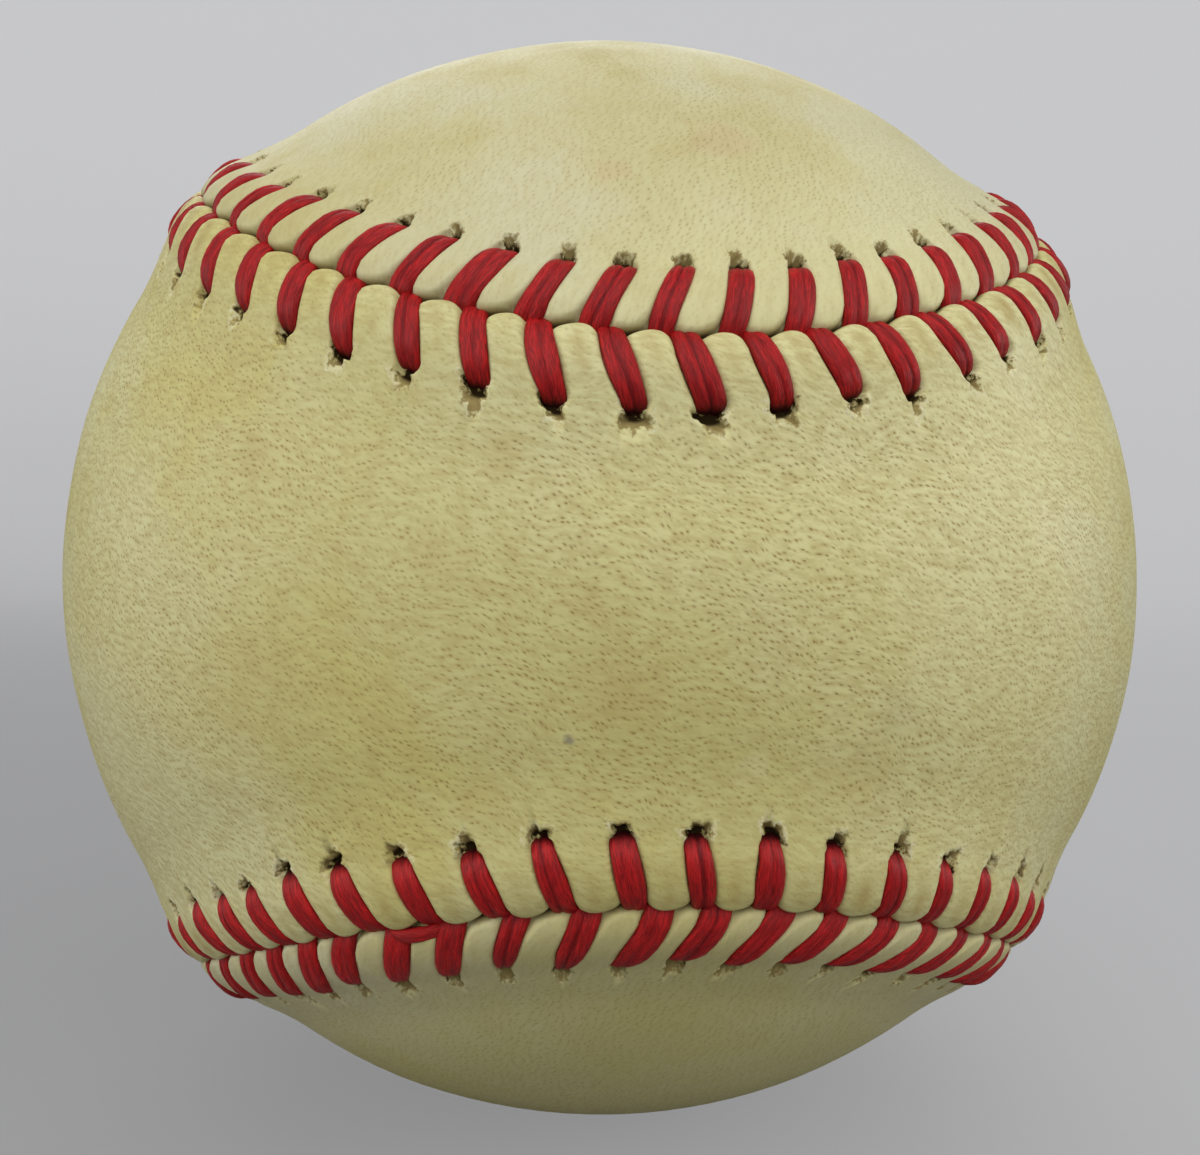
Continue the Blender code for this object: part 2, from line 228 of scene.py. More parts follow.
class NodeSheet:
    """A material's node tree, written one short call at a time."""

    def __init__(self, name: str) -> None:
        """Makes the material with its Principled shader.

        Args:
            name: name of the material.
        """
        self.material = bpy.data.materials.new(name)
        self.material.use_nodes = True
        self.tree = self.material.node_tree
        self.shader = self.tree.nodes["Principled BSDF"]

    def feed(self, socket: Socket, value: Feed) -> None:
        """Links a socket to another, or sets its constant.

        Args:
            socket: the input to fill.
            value: a socket, a number, a vector or a colour.
        """
        if isinstance(value, Socket):
            self.tree.links.new(value, socket)
        elif socket.type == "RGBA" and len(value) == 3:
            socket.default_value = (*value, 1.0)
        else:
            socket.default_value = value

    def node(self, kind: str, inputs: dict[str | int, Feed], **settings: object) -> bpy.types.Node:
        """Adds a node.

        Args:
            kind: the node's type.
            inputs: values by input name or number.
            settings: the node's own options.

        Returns:
            The node.
        """
        made = self.tree.nodes.new(kind)
        for key, value in settings.items():
            setattr(made, key, value)
        for key, value in inputs.items():
            self.feed(made.inputs[key], value)
        return made

    def place(self) -> Socket:
        """Where the point lies on the piece, in metres."""
        return self.node("ShaderNodeTexCoord", {}).outputs["Object"]

    def trait(self, name: str, output: str = "Fac") -> Socket:
        """A mesh attribute: its Fac for a number, its Vector for three."""
        return self.node("ShaderNodeAttribute", {}, attribute_name=name).outputs[output]

    def math(self, operation: str, one: Feed, other: Feed) -> Socket:
        """One step of arithmetic on numbers."""
        return self.node("ShaderNodeMath", {0: one, 1: other}, operation=operation).outputs[0]

    def product(self, first: Socket, *others: Feed) -> Socket:
        """Numbers multiplied together, one after another.

        Args:
            first: the first number.
            others: what it is multiplied by.

        Returns:
            The product.
        """
        for other in others:
            first = self.math("MULTIPLY", first, other)
        return first

    def shift(self, operation: str, one: Feed, other: Feed) -> Socket:
        """One step of arithmetic on vectors."""
        return self.node("ShaderNodeVectorMath", {0: one, 1: other}, operation=operation).outputs[0]

    def length(self, vector: Socket) -> Socket:
        """How long a vector is."""
        return self.node("ShaderNodeVectorMath", {0: vector}, operation="LENGTH").outputs["Value"]

    def stretch(self, vector: Socket, scale: Triple, turn: float = 0.0) -> Socket:
        """Coordinates turned about Z and scaled along each axis."""
        inputs = {"Vector": vector, "Scale": scale, "Rotation": (0.0, 0.0, turn)}
        return self.node("ShaderNodeMapping", inputs, vector_type="TEXTURE").outputs[0]

    def ramp(self, value: Feed, low: float, high: float, start: Feed = 0.0, end: Feed = 1.0) -> Socket:
        """Eased ramp from start at low to end at high."""
        inputs = {"Value": value, "From Min": low, "From Max": high, "To Min": start, "To Max": end}
        return self.node("ShaderNodeMapRange", inputs, interpolation_type="SMOOTHSTEP").outputs[0]

    def mix(self, share: Feed, one: Feed, other: Feed) -> Socket:
        """Two colours mixed by a share."""
        return self.node("ShaderNodeMix", {"Factor": share, 6: one, 7: other}, data_type="RGBA").outputs[2]

    def noise(self, vector: Socket, size: float, detail: float = 3.0, rough: float = 0.5) -> Socket:
        """Cloudy noise from 0 to 1 whose blots are about size metres wide."""
        inputs = {"Vector": vector, "Scale": 1.0 / size, "Detail": detail, "Roughness": rough}
        return self.node("ShaderNodeTexNoise", inputs).outputs["Fac"]

    def swirl(self, vector: Socket, size: float, reach: float) -> Socket:
        """Coordinates pushed about by noise.

        Args:
            vector: the coordinates.
            size: width of the blots that move together.
            reach: twice how far they may move.

        Returns:
            The new coordinates.
        """
        inputs = {"Vector": vector, "Scale": 1.0 / size, "Detail": 2.0}
        cloud = self.node("ShaderNodeTexNoise", inputs).outputs["Color"]
        centred = self.shift("SUBTRACT", cloud, (0.5, 0.5, 0.5))
        return self.shift("ADD", vector, self.shift("MULTIPLY", centred, (reach, reach, reach)))

    def cells(self, vector: Socket, size: float, dimensions: str = "3D") -> bpy.types.Node:
        """Voronoi cells about size metres wide."""
        inputs = {"Vector": vector, "Scale": 1.0 / size}
        return self.node("ShaderNodeTexVoronoi", inputs, voronoi_dimensions=dimensions)

    def chance(self, cells: bpy.types.Node) -> Socket:
        """A number from 0 to 1 for each cell, drawn by chance."""
        return self.node("ShaderNodeSeparateColor", {0: cells.outputs["Color"]}).outputs[0]

    def bump(self, height: Socket, depth: float) -> Socket:
        """Surface relief: height 0 to 1 stands for depth metres."""
        inputs = {"Height": height, "Distance": depth, "Strength": 1.0}
        return self.node("ShaderNodeBump", inputs).outputs[0]

    def finish(self, colour: Feed, roughness: Feed, normal: Socket | None = None) -> bpy.types.Material:
        """Feeds the shader.

        Args:
            colour: base colour.
            roughness: how dull the surface is.
            normal: relief, if any.

        Returns:
            The material.
        """
        self.feed(self.shader.inputs["Base Color"], colour)
        self.feed(self.shader.inputs["Roughness"], roughness)
        if normal is not None:
            self.feed(self.shader.inputs["Normal"], normal)
        return self.material


# Seam


class Side(Enum):
    """The two covers, told apart by where their narrow waist lies."""

    FRONT = 0
    BACK = 1

    @property
    def sign(self) -> int:
        """Which way across the seam this cover lies."""
        return 1 if self is Side.FRONT else -1

    @property
    def first_turn(self) -> float:
        """The seam's turn at the tip of the cover's first lobe."""
        return -math.pi / 4 if self is Side.FRONT else math.pi / 4

    @property
    def waist(self) -> Array:
        """Direction of the middle of the cover."""
        return np.array([0.0, -self.sign, 0.0])

    @property
    def lobe(self) -> Array:
        """Direction of the cover's first lobe, seen from its waist."""
        return np.array([1.0, 0.0, 0.0]) if self is Side.FRONT else np.array([0.0, 0.0, 1.0])

    @property
    def brim(self) -> Array:
        """Direction square to the cover's length."""
        return np.array([0.0, 0.0, 1.0]) if self is Side.FRONT else np.array([1.0, 0.0, 0.0])


@dataclass
class SeamLine:
    """The seam on the ball, and the places of its stitches.

    On a ball of radius 1 the line is u = a cos t + b cos 3t, v = a sin t - b sin 3t, w = 2 sqrt(ab) sin 2t
    with a + b = 1, turned an eighth of a turn about w. The stitches crowd together at the four lobe tips,
    and at one place a slack pull has drawn a few of them along.
    """

    radius: float
    waist_half_angle: float = math.radians(21.0)
    samples: int = 4320
    stitch_count: int = 108
    crowding: float = 0.20
    drift: float = 0.21
    lobe_tips: int = 4
    slack: float = 3.0 * MM
    slack_stitch: float = 57.0
    slack_reach: float = 2.9

    def __post_init__(self) -> None:
        """Measures the line and spaces the stitches along it."""
        self.a = (1 + math.sin(self.waist_half_angle)) / 2
        self.b = 1 - self.a
        self.turns = np.linspace(0.0, 2 * math.pi, self.samples + 1)
        steps = np.linalg.norm(np.diff(self.points(self.turns), axis=0), axis=1)
        self.lengths = self.radius * np.concatenate([[0.0], np.cumsum(steps)])
        self.total = float(self.lengths[-1])
        share = self.lengths / self.total
        from_tip = 2 * math.pi * (share - 1 / (2 * self.lobe_tips))
        crowding = self.crowding / (2 * math.pi * self.lobe_tips) * np.sin(self.lobe_tips * from_tip)
        drift = self.drift / self.stitch_count * np.cos(from_tip)
        count = (np.arange(self.stitch_count) + 0.5) / self.stitch_count
        away = (np.arange(self.stitch_count) - self.slack_stitch) / self.slack_reach
        even = np.interp(count, share + crowding + drift, self.lengths)
        self.stitches = even + self.slack * np.exp(-(away**2))

    def _turned(self, flat: Array, w: Array) -> Array:
        """Points from u + iv and w: an eighth of a turn brings the waists onto the Y axis."""
        flat = flat * (1 + 1j) / math.sqrt(2)
        return np.stack([flat.real, -w, flat.imag], axis=-1)

    def points(self, turn: Array) -> Array:
        """Points of the line on a ball of radius 1, with u + iv = a e^(it) + b e^(-3it)."""
        flat = self.a * np.exp(1j * turn) + self.b * np.exp(-3j * turn)
        return self._turned(flat, 2 * math.sqrt(self.a * self.b) * np.sin(2 * turn))

    def headings(self, turn: Array) -> Array:
        """Unit directions along the line, by the slope of the same formula."""
        flat = 1j * (self.a * np.exp(1j * turn) - 3 * self.b * np.exp(-3j * turn))
        return unit(self._turned(flat, 4 * math.sqrt(self.a * self.b) * np.cos(2 * turn)))

    def turn_at(self, along: Array) -> Array:
        """The curve's turn at an arc length."""
        return np.interp(np.mod(along, self.total), self.lengths, self.turns)

    def along_at(self, turn: float) -> float:
        """The arc length at a turn."""
        return float(np.interp(turn % (2 * math.pi), self.turns, self.lengths))

    def gap(self, one: Array, other: Array) -> Array:
        """How far one arc length lies past another, the shorter way round."""
        return np.mod(one - other + self.total / 2, self.total) - self.total / 2

    def place(self, along: Array, across: Array, radius: Array) -> Array:
        """Points on the ball: radius (cos(angle) up + sin(angle) side), where angle = across / ball radius.

        Args:
            along: arc length on the seam.
            across: distance from the seam towards the front cover.
            radius: distance from the centre of the ball.

        Returns:
            The points, one row of three for each place.
        """
        turn = self.turn_at(along)
        up = self.points(turn)
        side = np.cross(up, self.headings(turn))
        angle = np.asarray(across / self.radius)[..., None]
        return np.asarray(radius)[..., None] * (np.cos(angle) * up + np.sin(angle) * side)


@dataclass
class StitchPlan:
    """Where each leg of thread leaves its hole, crosses the leather and dives into the seam.

    Arrays have a row for each cover, front then back, and a column for each stitch.
    No two stitches are quite alike: a seeded draw moves and bends each a little.
    """

    seam: SeamLine
    holes: Pair = (3.30 * MM, 3.42 * MM)
    hole_shift: Pair = (-0.07 * MM, 0.22 * MM)
    hole_swing: Pair = (-0.40 * MM, 0.16 * MM)
    dive_shift: Pair = (0.79 * MM, 1.75 * MM)
    dive_swing: Pair = (-0.10 * MM, -0.21 * MM)
    hole_taper: Pair = (0.10, 0.20)
    taper_swing: Pair = (0.0, -0.15)
    seam_taper: Pair = (0.12, 0.02)
    band_width: float = 1.38 * MM
    wander: float = 0.10 * MM
    inset_wander: float = 0.13 * MM
    taper_spread: float = 0.05
    taper_ends: Pair = (0.45, 0.55)
    width_spread: float = 0.07
    bow_range: Pair = (0.8, 1.5)
    tear_reach: Pair = (0.52 * MM, 0.46 * MM)
    tear_size: Pair = (0.45 * MM, 0.42 * MM)
    tear_stretch: float = 1.40
    tear_range: Pair = (0.8, 1.2)
    shift_range: Pair = (0.7, 1.3)
    tear_waves: tuple[Pair, ...] = ((2, 0.16), (3, 0.16), (5, 0.20), (9, 0.16))
    seed: int = 11

    def __post_init__(self) -> None:
        """Draws every stitch. The pull of the needles swings once round the seam."""
        draw = np.random.default_rng(self.seed)
        shape = (2, self.seam.stitch_count)
        stitches = self.seam.stitches
        swing = np.cos(2 * math.pi * (stitches / self.seam.total - 1 / (2 * self.seam.lobe_tips)))

        def near(value: Pair, spread: float) -> Array:
            """A value for each cover, with its own small change at every stitch."""
            return np.array(value)[:, None] + spread * draw.normal(size=shape)

        self.hole_along = stitches + near(self.hole_shift, self.wander) + np.outer(self.hole_swing, swing)
        self.dive_along = stitches + near(self.dive_shift, self.wander) + np.outer(self.dive_swing, swing)
        self.hole_inset = near(self.holes, self.inset_wander)
        self.at_hole = near(self.hole_taper, self.taper_spread) + np.outer(self.taper_swing, swing)
        self.at_seam = near(self.seam_taper, self.taper_spread)
        self.width = self.band_width * (1 + self.width_spread * draw.normal(size=shape))
        self.bow = draw.uniform(*self.bow_range, shape)
        self.tear = np.array(self.tear_size)[:, None] * draw.uniform(*self.tear_range, shape)
        self.tear_turns = draw.uniform(0.0, 2 * math.pi, (len(self.tear_waves), *shape))
        self.tear_shift = np.array(self.tear_reach)[:, None] * draw.uniform(*self.shift_range, shape)

    def leg_along(self, row: int | Array, number: Array, part: Array) -> Array:
        """Arc length of a leg's middle line: hole + (dive - hole)(1 - (1 - part)^bow).

        Args:
            row: 0 for the front cover, 1 for the back cover.
            number: stitch numbers.
            part: how far along the leg, 0 at the hole and 1 at the seam.

        Returns:
            The arc lengths.
        """
        hole = self.hole_along[row, number]
        reach = self.dive_along[row, number] - hole
        return hole + reach * (1.0 - np.power(1.0 - np.clip(part, 0.0, 1.0), self.bow[row, number]))

    def half_width(self, row: int | Array, number: Array, part: Array) -> Array:
        """Half the width of a leg, which narrows towards its hole and towards the seam.

        Args:
            row: cover, as in leg_along.
            number: stitch numbers.
            part: how far along the leg.

        Returns:
            The half widths.
        """
        hole_end, seam_end = self.taper_ends
        at_hole = self.at_hole[row, number] * (1.0 - smooth_step(part, 0.0, hole_end))
        at_seam = self.at_seam[row, number] * smooth_step(part, seam_end, 1.0)
        return self.width[row, number] / 2 * (1.0 - at_hole - at_seam)

    def between(self, side: Side, phase: Array, inset: Array) -> Array:
        """Arc lengths of lines that run with the legs: on a leg at a whole phase, else between two legs.

        Args:
            side: which cover.
            phase: places among the stitches.
            inset: insets of the rows, one column wide.

        Returns:
            The arc lengths by row and column.
        """
        count = self.seam.stitch_count
        lower = np.floor(phase).astype(int)
        share = phase - lower
        ends = []
        for number in (lower, lower + 1):
            rounds, number = np.divmod(number, count)
            part = np.clip(1.0 - inset / self.hole_inset[side.value, number], 0.0, 1.0)
            ends.append(self.leg_along(side.value, number, part) + self.seam.total * rounds)
        return ends[0] * (1.0 - share) + ends[1] * share

    def survey(self, side: Side, along: Array, inset: Array) -> tuple[Array, Array]:
        """Distances on a cover from the edge of the nearest leg and of the nearest torn hole.

        A leg is a bent capsule of its own half width. A hole is a star just past the leg's end, drawn out
        away from the seam: its radius is tear (1 + the sum of height sin(count angle + turn)),
        with the counts and heights of tear_waves and a turn for each.

        Args:
            side: which cover.
            along: arc lengths by row and column.
            inset: insets by row and column.

        Returns:
            The distance from the nearest leg, and from the nearest hole, negative inside.
        """
        row = side.value
        count = self.seam.stitch_count
        ends = np.concatenate([[self.seam.stitches[-1] - self.seam.total], self.seam.stitches])
        nearest = np.round(np.interp(np.mod(along, self.seam.total), ends, np.arange(-1, count))).astype(int)
        leg_gap = np.full(inset.shape, np.inf)
        hole_gap = np.full(inset.shape, np.inf)
        for step in (-1, 0, 1):
            number = (nearest + step) % count
            hole = self.hole_inset[row, number]
            part = np.clip(1.0 - inset / hole, 0.0, 1.0)
            slope = (self.dive_along[row, number] - self.hole_along[row, number]) / hole
            aside = self.seam.gap(along, self.leg_along(row, number, part)) / np.sqrt(1.0 + slope**2)
            beyond = np.maximum(inset - hole, 0.0)
            leg_gap = np.minimum(leg_gap, np.hypot(aside, beyond) - self.half_width(row, number, part))
            x = self.seam.gap(along, self.hole_along[row, number])
            y = (inset - hole - self.tear_shift[row, number]) / self.tear_stretch
            angle = np.arctan2(y, x)
            star = 1.0
            for (waves, height), turn in zip(self.tear_waves, self.tear_turns[:, row, number]):
                star = star + height * np.sin(waves * angle + turn)
            hole_gap = np.minimum(hole_gap, np.hypot(x, y) - self.tear[row, number] * star)
        return leg_gap, hole_gap


# Covers


@dataclass(frozen=True)
class Mark:
    """A stain or scuff on the leather, placed by its direction from the centre of the ball."""

    azimuth: float
    elevation: float
    width: float
    colour: Colour
    strength: float
    core: float = 0.12
    ragged: float = 0.70
    edge: float = 0.62

    def centre(self, radius: float) -> Triple:
        """The mark's middle on a ball of this radius."""
        return tuple((radius * direction(self.azimuth, self.elevation)).tolist())


@dataclass(frozen=True)
class AgedLeather:
    """Yellowed horsehide: fine brown pores in wavy rows, tan stains, torn brown holes with painted shade
    deep inside, and a seam line painted dark as shade.
    """

    radius: float
    cream: Colour = (0.562, 0.525, 0.214)
    pale: Colour = (0.602, 0.580, 0.310)
    tan: Colour = (0.385, 0.290, 0.095)
    pore: Colour = (0.250, 0.160, 0.035)
    torn: Colour = (0.255, 0.190, 0.070)
    frayed: Colour = (0.680, 0.640, 0.420)
    dark: Colour = (0.024, 0.015, 0.006)
    blot_size: float = 15 * MM
    spot_size: float = 4 * MM
    fine_size: float = 0.13 * MM
    fine_stretch: float = 1.6
    stain_strength: float = 0.28
    sways: tuple[Pair, ...] = ((5 * MM, 1.6 * MM), (0.8 * MM, 0.22 * MM))
    pore_gap: float = 0.30 * MM
    pore_row: float = 0.43 * MM
    pore_dash: Pair = (0.145 * MM, 0.058 * MM)
    pore_slant: float = math.radians(-28)
    pore_scatter: float = 0.75
    pore_area: float = 9 * MM
    pore_strength: float = 0.95
    streak_size: float = 0.30 * MM
    streak_stretch: float = 3.2
    streak_slant: float = math.radians(-12)
    streak_strength: float = 0.50
    crown_patch: float = 5 * MM
    crown_speck: float = 0.9 * MM
    crown_stain: float = 0.95
    tear_grain: float = 0.32 * MM
    fray_tuft: float = 1.2 * MM
    fray_strength: float = 0.65
    roughness: Pair = (0.48, 0.62)
    gloss: float = 0.30
    pit_share: float = -0.3
    fine_share: float = 0.5
    relief_depth: float = 0.020 * MM

    def material(self, name: str, marks: tuple[Mark, ...]) -> bpy.types.Material:
        """Builds the leather.

        Args:
            name: name of the material.
            marks: stains and scuffs to lay over it.

        Returns:
            The material.
        """
        sheet = NodeSheet(name)
        place = sheet.place()
        grain = sheet.trait("grain", "Vector")
        blots = sheet.noise(place, self.blot_size, detail=5.0, rough=0.62)
        spots = sheet.noise(place, self.spot_size, detail=4.0, rough=0.62)
        colour = sheet.mix(sheet.ramp(blots, 0.40, 0.62), self.pale, self.cream)
        patches = sheet.ramp(blots, 0.46, 0.68)
        stain = sheet.product(patches, sheet.ramp(spots, 0.42, 0.66), self.stain_strength)
        colour = sheet.mix(stain, colour, self.tan)
        for mark in marks:
            colour = self._mark(sheet, place, colour, mark)
        wavy = grain
        for size, reach in self.sways:
            wavy = sheet.swirl(wavy, size, reach)
        pores, pits = self._pores(sheet, wavy, place)
        drawn = sheet.stretch(wavy, (self.streak_stretch, 1.0, 1.0), self.streak_slant)
        streaks = sheet.noise(drawn, self.streak_size, rough=0.6)
        colour = sheet.mix(sheet.ramp(streaks, 0.34, 0.72, 0.0, self.streak_strength), colour, self.tan)
        colour = sheet.mix(pores, colour, self.pore)
        colour = self._seam_wear_and_shade(sheet, place, colour)
        fine = sheet.noise(sheet.stretch(grain, (self.fine_stretch, 1.0, 1.0)), self.fine_size, rough=0.6)
        height = sheet.math("ADD", sheet.product(pits, self.pit_share), sheet.product(fine, self.fine_share))
        dull = sheet.ramp(spots, 0.3, 0.7, *self.roughness)
        gloss = sheet.ramp(sheet.trait("hole_gap"), -0.05, 0.25, 0.0, self.gloss)
        sheet.feed(sheet.shader.inputs["Specular IOR Level"], gloss)
        return sheet.finish(colour, dull, sheet.bump(height, self.relief_depth))

    def _pores(self, sheet: NodeSheet, wavy: Socket, place: Socket) -> tuple[Socket, Socket]:
        """Short slanting brown dashes in wavy rows, some strong and some hardly there, faint near the seam.

        Each dash is an ellipse with a soft border round the middle of a cell.
        The cells are pore_gap long and pore_row high.

        Args:
            sheet: the node tree.
            wavy: coordinates on the flattened leather, swayed.
            place: coordinates in space.

        Returns:
            How much pore colour shows, and how deep the pores are.
        """
        lattice = sheet.stretch(wavy, (self.pore_gap, self.pore_row, 1.0))
        cells = sheet.cells(lattice, 1.0, "2D")
        cells.inputs["Randomness"].default_value = self.pore_scatter
        apart = sheet.shift("SUBTRACT", lattice, cells.outputs["Position"])
        apart = sheet.shift("MULTIPLY", apart, (self.pore_gap, self.pore_row, 0.0))
        reach = sheet.length(sheet.stretch(apart, (*self.pore_dash, 1.0), self.pore_slant))
        border = sheet.ramp(reach, 0.4, 2.2, 0.3, 0.0)
        dash = sheet.math("MAXIMUM", sheet.ramp(reach, 0.2, 1.1, 1.0, 0.0), border)
        chance = sheet.ramp(sheet.chance(cells), 0.0, 0.9, 0.35, 1.0)
        area = sheet.ramp(sheet.noise(place, self.pore_area, detail=4.0), 0.32, 0.62, 0.62, 1.0)
        inwards = sheet.ramp(sheet.trait("seam_gap"), 2.6, 5.8, 0.40, 1.0)
        strong = sheet.product(chance, area, inwards)
        return sheet.product(dash, strong, self.pore_strength), dash

    def _mark(self, sheet: NodeSheet, place: Socket, colour: Socket, mark: Mark) -> Socket:
        """Lays one ragged mark over the colour.

        Args:
            sheet: the node tree.
            place: coordinates in space.
            colour: what lies beneath.
            mark: the mark.

        Returns:
            The new colour.
        """
        ragged = sheet.swirl(place, mark.width / 2, mark.width * mark.ragged)
        ends = {0: ragged, 1: mark.centre(self.radius)}
        away = sheet.node("ShaderNodeVectorMath", ends, operation="DISTANCE").outputs["Value"]
        cover = sheet.ramp(away, mark.width * mark.core, mark.width * mark.edge, mark.strength, 0.0)
        return sheet.mix(cover, colour, mark.colour)

    def _seam_wear_and_shade(self, sheet: NodeSheet, place: Socket, colour: Socket) -> Socket:
        """Torn brown holes with frayed edges and painted near-black shade deep beside the thread, the seam's
        crease painted dark as shade, and tan spots on the crowns of the tabs.

        Args:
            sheet: the node tree.
            place: coordinates in space.
            colour: what lies beneath.

        Returns:
            The new colour.
        """
        rough = sheet.noise(place, self.tear_grain, detail=4.0, rough=0.65)
        hole = sheet.math("ADD", sheet.trait("hole_gap"), sheet.ramp(rough, 0.25, 0.75, -0.22, 0.22))
        leg = sheet.trait("leg_gap")
        edge = sheet.trait("seam_gap")
        past_seam = sheet.ramp(edge, 0.25, 0.9)
        before_holes = sheet.ramp(edge, 1.5, 3.2, 1.0, 0.0)
        patches = sheet.noise(place, self.crown_patch)
        patches = sheet.ramp(patches, 0.32, 0.60, 0.35 * self.crown_stain, self.crown_stain)
        specks = sheet.noise(place, self.crown_speck, detail=4.0, rough=0.6)
        specks = sheet.ramp(specks, 0.3, 0.65, 0.40, 1.0)
        crown = sheet.product(sheet.ramp(leg, 0.25, 1.15), past_seam, before_holes, patches, specks)
        colour = sheet.mix(crown, colour, self.tan)
        tufts = sheet.noise(place, self.fray_tuft, detail=2.0)
        tufts = sheet.ramp(tufts, 0.42, 0.60, 0.0, self.fray_strength)
        fray = sheet.product(sheet.ramp(hole, 0.02, 0.10), sheet.ramp(hole, 0.12, 0.34, 1.0, 0.0), tufts)
        colour = sheet.mix(fray, colour, self.frayed)
        colour = sheet.mix(sheet.ramp(hole, -0.10, 0.14, 0.9, 0.0), colour, self.torn)
        # Painted shade: near black deep in each torn hole beside the thread, where the hole would lie in
        # shadow.
        beside_leg = sheet.ramp(leg, 0.0, 0.24, 1.0, 0.0)
        deep = sheet.product(sheet.ramp(hole, -0.14, 0.02, 1.0, 0.0), beside_leg)
        colour = sheet.mix(deep, colour, self.dark)
        colour = sheet.mix(sheet.ramp(edge, 0.03, 0.22, 0.9, 0.0), colour, self.torn)
        # Painted shade: the crease where the two covers meet at the seam is painted near black.
        return sheet.mix(sheet.ramp(edge, 0.01, 0.09, 0.9, 0.0), colour, self.dark)


